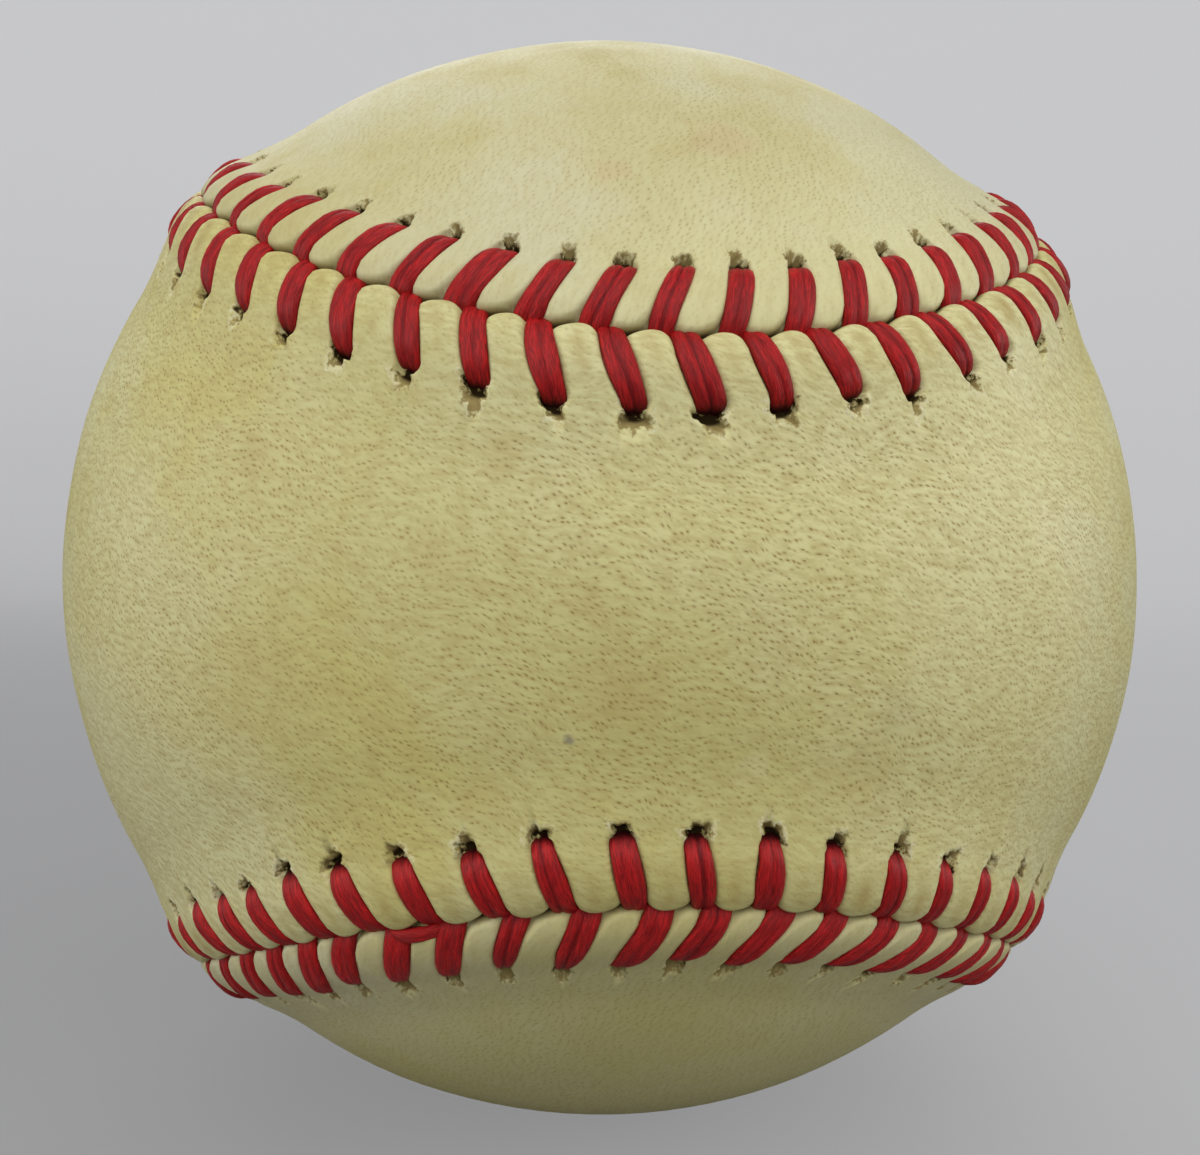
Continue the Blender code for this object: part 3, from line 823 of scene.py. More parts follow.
@dataclass
class CoverPanel:
    """One leather cover: a raised strip of pillowed tabs and torn holes along the seam, smooth inside it.

    The skin is a stack of rings that follow the seam. The fine rings near the seam become coarser inwards,
    and the last ring is folded onto the great circle that runs down the middle of the cover.
    """

    seam: SeamLine
    plan: StitchPlan
    side: Side
    inner_radius: float
    welt_rise: float = 1.05 * MM
    welt_top: float = 0.5 * MM
    welt_foot: float = 7.6 * MM
    tab_swell: float = 0.18 * MM
    swell_rise: float = 1.2 * MM
    swell_fall: Pair = (2.0 * MM, 4.2 * MM)
    tab_drop: float = 0.50 * MM
    tab_round: float = 0.27 * MM
    tab_corner: float = 0.80 * MM
    seam_drop: float = 0.45 * MM
    seam_round: float = 0.42 * MM
    seam_wave: float = 0.16 * MM
    wave_reach: float = 2.2 * MM
    tear_depth: float = 0.20 * MM
    pit_depth: float = 0.55 * MM
    pit_reach: float = 0.35 * MM
    pit_wall: Pair = (-0.08 * MM, 0.16 * MM)
    rim_rise: float = 0.05 * MM
    rim_width: float = 0.09 * MM
    underside_rise: float = 0.90 * MM
    edge_wall: float = 0.35 * MM
    hug: float = 0.12 * MM
    per_stitch: int = 28
    place_samples: int = 501
    leg_share: float = 0.18
    edge_share: float = 0.05
    edge_crowding: float = 2.5
    edge_rows: int = 7
    strip_rows: Steps = ((3.0 * MM, 6), (4.7 * MM, 9), (5.6 * MM, 1))
    fade_insets: tuple[float, ...] = (6.2 * MM, 6.8 * MM, 7.5 * MM, 8.4 * MM)
    smooth_rows: int = 16
    under_rows: int = 8
    spine_half_angle: float = math.radians(112.0)
    lumps: int = 28
    lump_height: float = 0.056 * MM
    lump_lengths: Pair = (7 * MM, 22 * MM)
    lump_seed: int = 5
    trait_reach: float = 6.0

    def __post_init__(self) -> None:
        """Places the columns among the stitches from the lobe's tip on, crowded at the edges of the legs."""
        place = np.linspace(0.0, 1.0, self.place_samples)
        near = np.minimum(place, 1.0 - place) - self.leg_share
        share = np.cumsum(1.0 + self.edge_crowding * np.exp(-((near / self.edge_share) ** 2)))
        share = (share - share[0]) / (share[-1] - share[0])
        within = np.interp(np.arange(self.per_stitch) / self.per_stitch, share, place)
        tip = self.seam.along_at(self.side.first_turn)
        first = int(np.argmin(np.abs(self.seam.gap(self.seam.stitches, tip))))
        numbers = first + np.arange(self.seam.stitch_count)
        self.phases = (numbers[:, None] + within).ravel()
        self.columns = len(self.phases)

    def lump(self, directions: Array) -> Array:
        """Slight unevenness of the ball: a sum of plane waves of many lengths and headings.

        Args:
            directions: unit vectors.

        Returns:
            Heights.
        """
        draw = np.random.default_rng(self.lump_seed)
        heading = unit(draw.normal(size=(self.lumps, 3)))
        length = draw.uniform(*self.lump_lengths, self.lumps)
        start = draw.uniform(0.0, 2 * math.pi, self.lumps)
        height = self.lump_height * length / length.mean() / math.sqrt(self.lumps)
        phase = self.seam.radius * directions @ (heading * (2 * math.pi / length)[:, None]).T + start
        return np.sin(phase) @ height

    def wave(self, along: Array) -> Array:
        """How far the seam line sways towards the front cover: a sine wave drawn to each leg that dives.

        Args:
            along: arc lengths.

        Returns:
            The distances.
        """
        middle = self.plan.dive_along.mean(axis=0)
        ends = np.concatenate([middle[-1:] - self.seam.total, middle, middle[:1] + self.seam.total])
        phase = np.interp(np.mod(along, self.seam.total), ends, np.arange(-1, len(middle) + 1))
        return -self.seam_wave * np.sin(2 * math.pi * phase)

    def relief(self, along: Array, inset: Array) -> tuple[Array, dict[str, Array]]:
        """Height of the leather over the ball: welt + swell + rim - the deeper of pillow and pit - roll.

        The pillow falls as a quarter circle from the crown of a tab to the nearest of leg and seam.
        The swell lifts the tabs between the legs. The pit is a torn hole, deepest beside the thread,
        and the rim is its raised edge. The roll turns the leather down into the seam.

        Args:
            along: arc lengths by row and column.
            inset: insets of the rows, one column wide.

        Returns:
            The heights, and the distances in millimetres that the leather's finish reads.
        """
        inset = np.broadcast_to(inset, along.shape)
        leg_gap, hole_gap = self.plan.survey(self.side, along, inset)
        edge = smooth_min(leg_gap + self.hug, inset, self.tab_corner)
        welt = self.welt_rise * (1.0 - smooth_step(inset, self.welt_top, self.welt_foot))
        swell = self.tab_swell * smooth_step(inset, 0.0, self.swell_rise)
        swell = swell * (1.0 - smooth_step(inset, *self.swell_fall))
        pillow = (self.tab_drop + swell) * rounded_fall(np.maximum(edge, 0.0), self.tab_round)
        beside_leg = np.maximum(leg_gap, 0.0) / self.pit_reach
        depth = self.tear_depth + self.pit_depth * np.exp(-(beside_leg**2))
        pit = depth * smooth_step(-hole_gap, *self.pit_wall)
        rim = self.rim_rise * np.exp(-(((hole_gap - self.rim_width) / self.rim_width) ** 2))
        rim = rim * smooth_step(leg_gap, 0.0, self.rim_width)
        roll = self.seam_drop * rounded_fall(inset, self.seam_round)
        far = self.trait_reach
        traits = {
            "leg_gap": np.minimum(leg_gap / MM, far),
            "hole_gap": np.minimum(hole_gap / MM, far),
            "seam_gap": np.minimum(inset / MM, far),
        }
        return welt + swell + rim - np.maximum(pillow, pit) - roll, traits

    def grain(self, points: Array) -> Array:
        """Coordinates on the flattened leather: arc lengths along the cover and across it.

        Args:
            points: points of the cover.

        Returns:
            The coordinates, one row each.
        """
        length = np.arctan2(points @ self.side.lobe, points @ self.side.waist)
        width = np.arcsin(np.clip(unit(points) @ self.side.brim, -1.0, 1.0))
        return self.seam.radius * np.stack([length, width, np.zeros_like(width)], axis=-1)

    def spine(self, count: int) -> Array:
        """Directions on the cover's middle line, where a ring of count points folds flat."""
        angle = self.spine_half_angle * np.cos(2 * math.pi * np.arange(count // 2 + 1) / count)
        return np.outer(np.sin(angle), self.side.lobe) + np.outer(np.cos(angle), self.side.waist)

    def strip(self, insets: Array, count: int) -> tuple[Array, Array]:
        """Unit directions of a strip along the seam, swayed with it, and the arc lengths of its points.

        Args:
            insets: insets of the rows.
            count: number of columns.

        Returns:
            The directions and the arc lengths, by row and column.
        """
        rows = np.asarray(insets)[:, None]
        along = self.plan.between(self.side, self.phases[:: self.columns // count], rows)
        sway = self.wave(along) * (1.0 - smooth_step(rows, 0.0, self.wave_reach))
        across = self.side.sign * rows + sway
        return self.seam.place(along, across, np.ones(across.shape)), along

    def lay_outside(self, skin: RingSkin) -> None:
        """Lays the rings of the outer face from the spine to the seam.

        Args:
            skin: the skin to add to.
        """
        coarse = self.columns // 4
        rim, _ = self.strip(np.array([self.fade_insets[-1]]), coarse)
        half = self.spine(coarse)
        whole = np.concatenate([half, half[-2:0:-1]])
        share = (np.arange(1, self.smooth_rows) / self.smooth_rows)[:, None, None]
        inside = unit(whole[None] * (1.0 - share) + rim * share)
        self._plain_ring(skin, half, folded=True)
        for ring in inside:
            self._plain_ring(skin, ring)
        edge_turn = np.linspace(0.0, math.pi / 2, self.edge_rows)
        edge = self.seam_round * (1.0 - np.cos(edge_turn))
        rows = [edge]
        for reach, count in self.strip_rows:
            rows.append(np.linspace(rows[-1][-1], reach, count + 1)[1:])
        fine = np.concatenate([*rows, [self.fade_insets[0]]])[::-1]
        for count, insets in (
            (coarse, self.fade_insets[3:]),
            (coarse * 2, self.fade_insets[2:0:-1]),
            (self.columns, fine),
        ):
            directions, along = self.strip(np.array(insets), count)
            heights, traits = self.relief(along, np.array(insets)[:, None])
            radius = self.seam.radius + heights + self.lump(directions)
            points = directions * radius[..., None]
            for row in range(len(insets)):
                ring = {key: values[row] for key, values in traits.items()}
                skin.add(points[row], {**ring, "grain": self.grain(points[row])})

    def lay_underside(self, skin: RingSkin) -> None:
        """Lays the rings of the cut edge and the flesh side, from the seam back to the spine.

        Args:
            skin: the skin to add to.
        """
        raised = self.inner_radius + self.underside_rise
        rings = [
            (self.columns, 0.0, raised + self.edge_wall),
            (self.columns // 2, self.welt_top, raised),
            (self.columns // 4, self.welt_foot / 2, (raised + self.inner_radius) / 2),
            (self.columns // 8, self.welt_foot, self.inner_radius),
        ]
        for count, inset, radius in rings:
            directions, _ = self.strip(np.array([inset]), count)
            self._plain_ring(skin, directions[0], radius)
        count = rings[-1][0]
        half = self.spine(count)
        whole = np.concatenate([half, half[-2:0:-1]])
        share = (np.arange(1, self.under_rows) / self.under_rows)[:, None, None]
        for ring in unit(directions[0] * (1.0 - share) + whole[None] * share):
            self._plain_ring(skin, ring, self.inner_radius)
        self._plain_ring(skin, half, self.inner_radius, folded=True)

    def _plain_ring(
        self, skin: RingSkin, ring: Array, radius: float | None = None, folded: bool = False
    ) -> None:
        """Adds a ring away from the stitches.

        Args:
            skin: the skin to add to.
            ring: unit directions of its points.
            radius: distance from the centre, or none for the outside of the ball.
            folded: whether the ring is pressed into a line.
        """
        reach = self.seam.radius + self.lump(ring) if radius is None else np.full(len(ring), radius)
        points = ring * reach[:, None]
        far = np.full(len(ring), self.trait_reach)
        traits = {"leg_gap": far, "hole_gap": far, "seam_gap": far, "grain": self.grain(points)}
        skin.add(points, traits, folded)

    def build(self, leather: bpy.types.Material) -> bpy.types.Object:
        """Builds and dresses the cover.

        Args:
            leather: its finish.

        Returns:
            The piece, in place of its solid.
        """
        skin = RingSkin()
        self.lay_outside(skin)
        self.lay_underside(skin)
        word = self.side.name.lower()
        piece = skin.object(f"{word}_leather")
        piece.data.materials.append(leather)
        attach(piece, BODY)
        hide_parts(f"{word}_cover")
        return piece


# Thread


@dataclass(frozen=True)
class WaxedThread:
    """Red waxed cotton: fine fibres along the thread, dark between them, with painted shade in the groove
    between the plies and painted shadow where the thread sinks into a hole or the seam.
    """

    red: Colour = (0.485, 0.010, 0.011)
    deep: Colour = (0.185, 0.004, 0.005)
    dark: Colour = (0.030, 0.002, 0.003)
    fibre: float = 0.060 * MM
    bundle: float = 0.210 * MM
    blot: float = 3 * MM
    stretch: float = 10.0
    sway: Pair = (1.5 * MM, 0.25 * MM)
    roughness: float = 0.47
    specular: float = 0.21
    relief_depth: float = 0.07 * MM

    def material(self, name: str) -> bpy.types.Material:
        """Builds the thread's finish on its own coordinates: length, width and thickness.

        Args:
            name: name of the material.

        Returns:
            The material.
        """
        sheet = NodeSheet(name)
        strand = sheet.trait("strand", "Vector")
        drawn = sheet.stretch(sheet.swirl(strand, *self.sway), (self.stretch, 1.0, 1.0))
        fibres = sheet.noise(drawn, self.fibre, rough=0.6)
        bundles = sheet.noise(drawn, self.bundle, detail=2.0)
        blots = sheet.noise(sheet.place(), self.blot, detail=2.0)
        colour = sheet.mix(sheet.ramp(fibres, 0.32, 0.60), self.deep, self.red)
        colour = sheet.mix(sheet.ramp(bundles, 0.36, 0.56, 0.55, 0.0), colour, self.deep)
        colour = sheet.mix(sheet.ramp(blots, 0.35, 0.75, 0.0, 0.35), colour, self.deep)
        # Painted shade: the groove between the two plies is darkened towards black.
        groove = sheet.ramp(sheet.trait("groove"), 0.05, 0.42, 0.0, 0.6)
        colour = sheet.mix(groove, colour, self.dark)
        # Painted shadow: the thread darkens to near black as it sinks into a hole or under the seam.
        colour = sheet.mix(sheet.ramp(sheet.trait("tuck"), 0.0, 1.0), colour, self.dark)
        height = sheet.math("ADD", fibres, bundles)
        sheet.shader.inputs["Specular IOR Level"].default_value = self.specular
        return sheet.finish(colour, self.roughness, sheet.bump(height, self.relief_depth))


@dataclass
class Stitching:
    """The sewn thread: one unbroken band of two plies, with a groove between them, along its whole path.

    Two needles work from one start. Each comes up through a hole, lays a leg to the seam, dives under
    the other cover's edge and comes up through that cover's next hole. One slack turn lies along the seam.
    """

    seam: SeamLine
    plan: StitchPlan
    hidden_radius: float
    leg_rise: float = 1.00 * MM
    thickness: float = 0.66 * MM
    hidden_thickness: float = 0.34 * MM
    arch_power: float = 2.6
    past_hole: float = 0.07
    past_seam: float = 0.10
    groove_depth: Pair = (0.14, 0.42)
    groove_width: float = 0.17
    groove_wander: float = 0.22
    crowding: float = 0.22
    lean: float = 0.25
    flatness: float = 2.8
    stations: int = 17
    sides: int = 24
    slack_stitch: int = 62
    slack_ends: Pair = (1.0 * MM, 5.0 * MM)
    slack_across: float = -0.34 * MM
    slack_half: float = 0.36 * MM
    bight: float = 1.4 * MM
    # Depths below the top of a leg over which the thread's painted shadow deepens to black.
    tuck: Pair = (0.40 * MM, 1.15 * MM)
    seed: int = 23

    def arch(self) -> tuple[Array, Array, Array]:
        """The rounded arch of a leg and of the slack turn: the superellipse |x|^n + |y|^n = 1.

        Its x runs from end to end, and its y rises from the hidden thread to the top of a leg.

        Returns:
            The turn from 0 to pi, the radius and the thickness at each station.
        """
        turn = np.linspace(0.0, math.pi, self.stations)
        rise = np.abs(np.sin(turn)) ** (2 / self.arch_power)
        radius = self.hidden_radius + (self.seam.radius + self.leg_rise - self.hidden_radius) * rise
        thick = self.hidden_thickness + (self.thickness - self.hidden_thickness) * rise
        return turn, radius, thick

    def legs(self, rows: Array, numbers: Array) -> dict[str, Array]:
        """Stations of many legs at once, each an arch from under its hole to under the seam.

        Args:
            rows: cover of each leg, 0 for the front and 1 for the back.
            numbers: stitch of each leg.

        Returns:
            Arc length, distance across, radius, half width, thickness, and the groove's place and depth,
            a row for each leg.
        """
        turn, radius, thick = self.arch()
        level = np.sign(np.cos(turn)) * np.abs(np.cos(turn)) ** (2 / self.arch_power)
        part = -self.past_hole + (1.0 - level) / 2 * (1.0 + self.past_hole + self.past_seam)
        row, number = rows[:, None], numbers[:, None]
        inset = self.plan.hole_inset[row, number] * (1.0 - part)
        draw = np.random.default_rng(self.seed)
        ends = self.groove_wander * draw.uniform(-1.0, 1.0, (2, len(rows), 1))
        depth = draw.uniform(*self.groove_depth, (len(rows), 1))
        return {
            "along": self.plan.leg_along(row, number, part),
            "across": np.where(row == 0, inset, -inset),
            "radius": np.broadcast_to(radius, inset.shape),
            "half": self.plan.half_width(row, number, part),
            "thick": np.broadcast_to(thick, inset.shape),
            "groove": ends[0] + (ends[1] - ends[0]) * part,
            "depth": np.broadcast_to(depth, inset.shape),
        }

    def path(self) -> dict[str, Array]:
        """Stations of the whole thread: one needle's half backwards, the start, then the other half.

        Returns:
            Arrays as in legs, one long row each.
        """
        numbers = np.arange(self.seam.stitch_count)
        halves = [self.legs((numbers + first) % 2, numbers) for first in (1, 0)]
        start = {
            "along": self.seam.stitches[0] - self.bight,
            "across": 0.0,
            "radius": self.hidden_radius,
            "half": self.plan.band_width / 2,
            "thick": self.hidden_thickness,
            "groove": 0.0,
            "depth": 0.0,
        }
        return {
            key: np.concatenate([halves[0][key].ravel()[::-1], [start[key]], halves[1][key].ravel()])
            for key in start
        }

    def slack_run(self) -> dict[str, Array]:
        """Stations of one slack turn of thread that lies along the seam, on the same rounded arch as a leg.

        Returns:
            Arrays as in path.
        """
        turn, radius, thick = self.arch()
        low, high = self.slack_ends
        return {
            "along": self.seam.stitches[self.slack_stitch] + low + (high - low) * (1.0 - np.cos(turn)) / 2,
            "across": np.full(self.stations, self.slack_across),
            "radius": radius,
            "half": np.full(self.stations, self.slack_half),
            "thick": thick,
            "groove": np.zeros(self.stations),
            "depth": np.zeros(self.stations),
        }

    def _band(self, path: dict[str, Array], broadside: bool) -> tuple[Array, dict[str, Array]]:
        """Carries the two-ply section along a path.

        The section is the superellipse |x / half width|^n + |y / half thickness|^n = 1, pressed in by
        1 - depth exp(-((x / half width - shift) / width)^2) for the groove. Its x lies along the seam or,
        broadside, across it, and its y is square to x and to the path. Its points crowd together on
        the broad faces, most on the outer one: a = t + crowding sin 2t + lean cos t, where the lean
        turns over with y.

        Args:
            path: the stations.
            broadside: whether the path itself runs along the seam.

        Returns:
            The points by station and side, and their attributes.
        """
        centre = self.seam.place(path["along"], path["across"], path["radius"])
        heading = unit(np.gradient(centre, axis=0))
        width = self.seam.headings(self.seam.turn_at(path["along"]))
        if broadside:
            width = np.cross(centre, width)
        rise = unit(np.cross(heading, width))
        width = np.cross(rise, heading)
        even = 2 * math.pi * np.arange(self.sides) / self.sides
        outward = np.sum(rise * unit(centre), axis=1)[:, None]
        angle = even + self.crowding * np.sin(2 * even) + self.lean * outward * np.cos(even)
        level = np.sign(np.cos(angle)) * np.abs(np.cos(angle)) ** (2 / self.flatness)
        height = np.sign(np.sin(angle)) * np.abs(np.sin(angle)) ** (2 / self.flatness)
        aside = (level - path["groove"][:, None]) / self.groove_width
        groove = path["depth"][:, None] * np.exp(-(aside**2))
        x = path["half"][:, None] * level
        y = path["thick"][:, None] / 2 * height * (1.0 - groove)
        points = centre[:, None] + x[..., None] * width[:, None] + y[..., None] * rise[:, None]
        length = np.concatenate([[0.0], np.cumsum(np.linalg.norm(np.diff(centre, axis=0), axis=1))])
        strand = np.stack([np.broadcast_to(length[:, None], x.shape), x, y], axis=-1)
        buried = self.seam.radius + self.leg_rise - path["radius"]
        traits = {
            "strand": strand.reshape(-1, 3),
            "groove": groove.ravel(),
            "tuck": np.repeat(smooth_step(buried, *self.tuck), self.sides),
        }
        return points.reshape(-1, 3), traits

    def build(self, finish: bpy.types.Material) -> bpy.types.Object:
        """Builds and dresses the thread with its slack turn.

        Args:
            finish: the thread's material.

        Returns:
            The piece, in place of its solid.
        """
        sewn, sewn_traits = self._band(self.path(), broadside=False)
        slack, slack_traits = self._band(self.slack_run(), broadside=True)
        triangles = np.concatenate([
            tube_triangles(len(sewn) // self.sides, self.sides),
            tube_triangles(len(slack) // self.sides, self.sides) + len(sewn),
        ])
        traits = {key: np.concatenate([sewn_traits[key], slack_traits[key]]) for key in sewn_traits}
        piece = add_mesh("red_stitching", np.concatenate([sewn, slack]), triangles, traits)
        piece.data.materials.append(finish)
        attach(piece, BODY)
        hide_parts("stitching_thread")
        return piece


def tube_triangles(stations: int, sides: int) -> Array:
    """Triangles of a tube with flat ends.

    Args:
        stations: number of rings.
        sides: points on each ring.

    Returns:
        Corner numbers, three in a row.
    """
    ring, side = np.meshgrid(np.arange(stations - 1), np.arange(sides), indexing="ij")
    after = (side + 1) % sides
    a, b = ring * sides + side, ring * sides + after
    c, d = a + sides, b + sides
    wall = np.concatenate([np.stack([a, b, d], -1).reshape(-1, 3), np.stack([a, d, c], -1).reshape(-1, 3)])
    fan = np.arange(1, sides - 1)
    first = np.stack([np.zeros_like(fan), fan + 1, fan], -1)
    last = np.stack([np.zeros_like(fan), fan, fan + 1], -1) + (stations - 1) * sides
    return np.concatenate([wall, first, last])


# Layers inside


@dataclass(frozen=True)
class GroundCork:
    """Pressed cork: tan granules with dark flecks between them."""

    light: Colour = (0.420, 0.250, 0.120)
    brown: Colour = (0.210, 0.110, 0.050)
    granule: float = 1.6 * MM
    sway: Pair = (1.5 * MM, 1.0 * MM)
    roughness: float = 0.9
    relief_depth: float = 0.15 * MM

    def material(self, name: str) -> bpy.types.Material:
        """Builds the cork.

        Args:
            name: name of the material.

        Returns:
            The material.
        """
        sheet = NodeSheet(name)
        grains = sheet.cells(sheet.swirl(sheet.place(), *self.sway), self.granule)
        edge = sheet.ramp(grains.outputs["Distance"], 0.35, 0.75)
        colour = sheet.mix(sheet.chance(grains), self.light, self.brown)
        colour = sheet.mix(sheet.product(edge, 0.7), colour, self.brown)
        relief = sheet.bump(sheet.math("SUBTRACT", 1.0, edge), self.relief_depth)
        return sheet.finish(colour, self.roughness, relief)


@dataclass(frozen=True)
class MouldedRubber:
    """Rubber from a mould: faint mottle and a slight bloom."""

    colour: Colour
    bloom: Colour
    mottle_size: float = 4 * MM
    fine_size: float = 0.4 * MM
    roughness: Pair = (0.5, 0.7)
    relief_depth: float = 0.03 * MM

    def material(self, name: str) -> bpy.types.Material:
        """Builds the rubber.

        Args:
            name: name of the material.

        Returns:
            The material.
        """
        sheet = NodeSheet(name)
        place = sheet.place()
        mottle = sheet.noise(place, self.mottle_size, detail=5.0, rough=0.6)
        colour = sheet.mix(sheet.ramp(mottle, 0.45, 0.75, 0.0, 0.5), self.colour, self.bloom)
        relief = sheet.bump(sheet.noise(place, self.fine_size), self.relief_depth)
        return sheet.finish(colour, sheet.ramp(mottle, 0.3, 0.7, *self.roughness), relief)


@dataclass(frozen=True)
class WoundYarn:
    """Yarn wound tight round a ball: strands that cross one another, and loose fibres."""

    light: Colour
    shade: Colour
    strand: float
    stretch: float = 7.0
    slant: float = math.radians(35)
    sway: Pair = (9 * MM, 4 * MM)
    roughness: float = 0.92

    def material(self, name: str) -> bpy.types.Material:
        """Builds the yarn.

        Args:
            name: name of the material.

        Returns:
            The material.
        """
        sheet = NodeSheet(name)
        place = sheet.place()
        drawn = sheet.stretch(sheet.swirl(place, *self.sway), (self.stretch, 1.0, 1.0), self.slant)
        strands = sheet.noise(drawn, self.strand, rough=0.6)
        fluff = sheet.noise(place, self.strand / 4, detail=4.0, rough=0.65)
        colour = sheet.mix(sheet.ramp(strands, 0.35, 0.62), self.shade, self.light)
        colour = sheet.mix(sheet.ramp(fluff, 0.4, 0.8, 0.0, 0.4), colour, self.light)
        height = sheet.math("ADD", strands, sheet.product(fluff, 0.4))
        return sheet.finish(colour, self.roughness, sheet.bump(height, self.strand / 3))


@dataclass
class InnerLayers:
    """The pill and the windings, which keep their solids and get their finishes."""

    nodes: dict[str, bpy.types.Object]

    def dress(self) -> None:
        """Gives every layer its finish."""
        black = MouldedRubber((0.018, 0.018, 0.019), (0.055, 0.053, 0.050)).material("black_rubber_finish")
        red = MouldedRubber((0.380, 0.045, 0.028), (0.450, 0.120, 0.080)).material("red_rubber_finish")
        grey = WoundYarn((0.420, 0.410, 0.380), (0.150, 0.145, 0.135), 1.1 * MM).material("grey_wool_finish")
        white = WoundYarn((0.78, 0.76, 0.69), (0.43, 0.41, 0.35), 0.9 * MM).material("white_wool_finish")
        cotton = WoundYarn((0.800, 0.780, 0.710), (0.520, 0.490, 0.420), 0.5 * MM).material("cotton_finish")
        finishes = {
            "cork_core": GroundCork().material("cork_finish"),
            "black_rubber_shell_upper": black,
            "black_rubber_shell_lower": black,
            "red_rubber_gasket": red,
            "red_rubber_shell_upper": red,
            "red_rubber_shell_lower": red,
            "first_wool_winding": grey,
            "second_wool_winding": white,
            "third_wool_winding": grey,
            "finishing_yarn_winding": cotton,
        }
        for name, finish in finishes.items():
            materials = self.nodes[name].data.materials
            materials.clear()
            materials.append(finish)
            LOG.info("%s dressed with %s", name, finish.name)


# Studio


def stand(
    name: str, data: bpy.types.ID, azimuth: float, elevation: float, away: float, roll: float = 0.0
) -> bpy.types.Object:
    """Stands a camera or a lamp in the scene, facing the centre of the ball.

    Args:
        name: name of the object.
        data: the camera or lamp.
        azimuth: degrees to the right of the front.
        elevation: degrees above the level.
        away: distance from the centre of the ball.
        roll: degrees that it is turned about its own axis.

    Returns:
        The object.
    """
    back = direction(azimuth, elevation)
    level = direction(azimuth + 90.0, 0.0)
    tilt = math.radians(roll)
    right = math.cos(tilt) * level + math.sin(tilt) * np.cross(back, level)
    rows = np.column_stack([right, np.cross(back, right), back, back * away])
    holder = bpy.data.objects.new(name, data)
    holder.matrix_world = Matrix([*rows.tolist(), [0.0, 0.0, 0.0, 1.0]])
    bpy.context.scene.collection.objects.link(holder)
    return holder


@dataclass(frozen=True)
class Lamp:
    """A round soft lamp that faces the ball: its place in degrees and metres, its diameter and its watts."""

    name: str
    azimuth: float
    elevation: float
    away: float
    size: float
    power: float
    spread: float = math.radians(160.0)

    def add(self) -> None:
        """Adds the lamp, unseen by the camera."""
        lamp = bpy.data.lights.new(self.name, "AREA")
        lamp.shape = "DISK"
        lamp.size = self.size
        lamp.energy = self.power
        lamp.spread = self.spread
        stand(self.name, lamp, self.azimuth, self.elevation, self.away).visible_camera = False


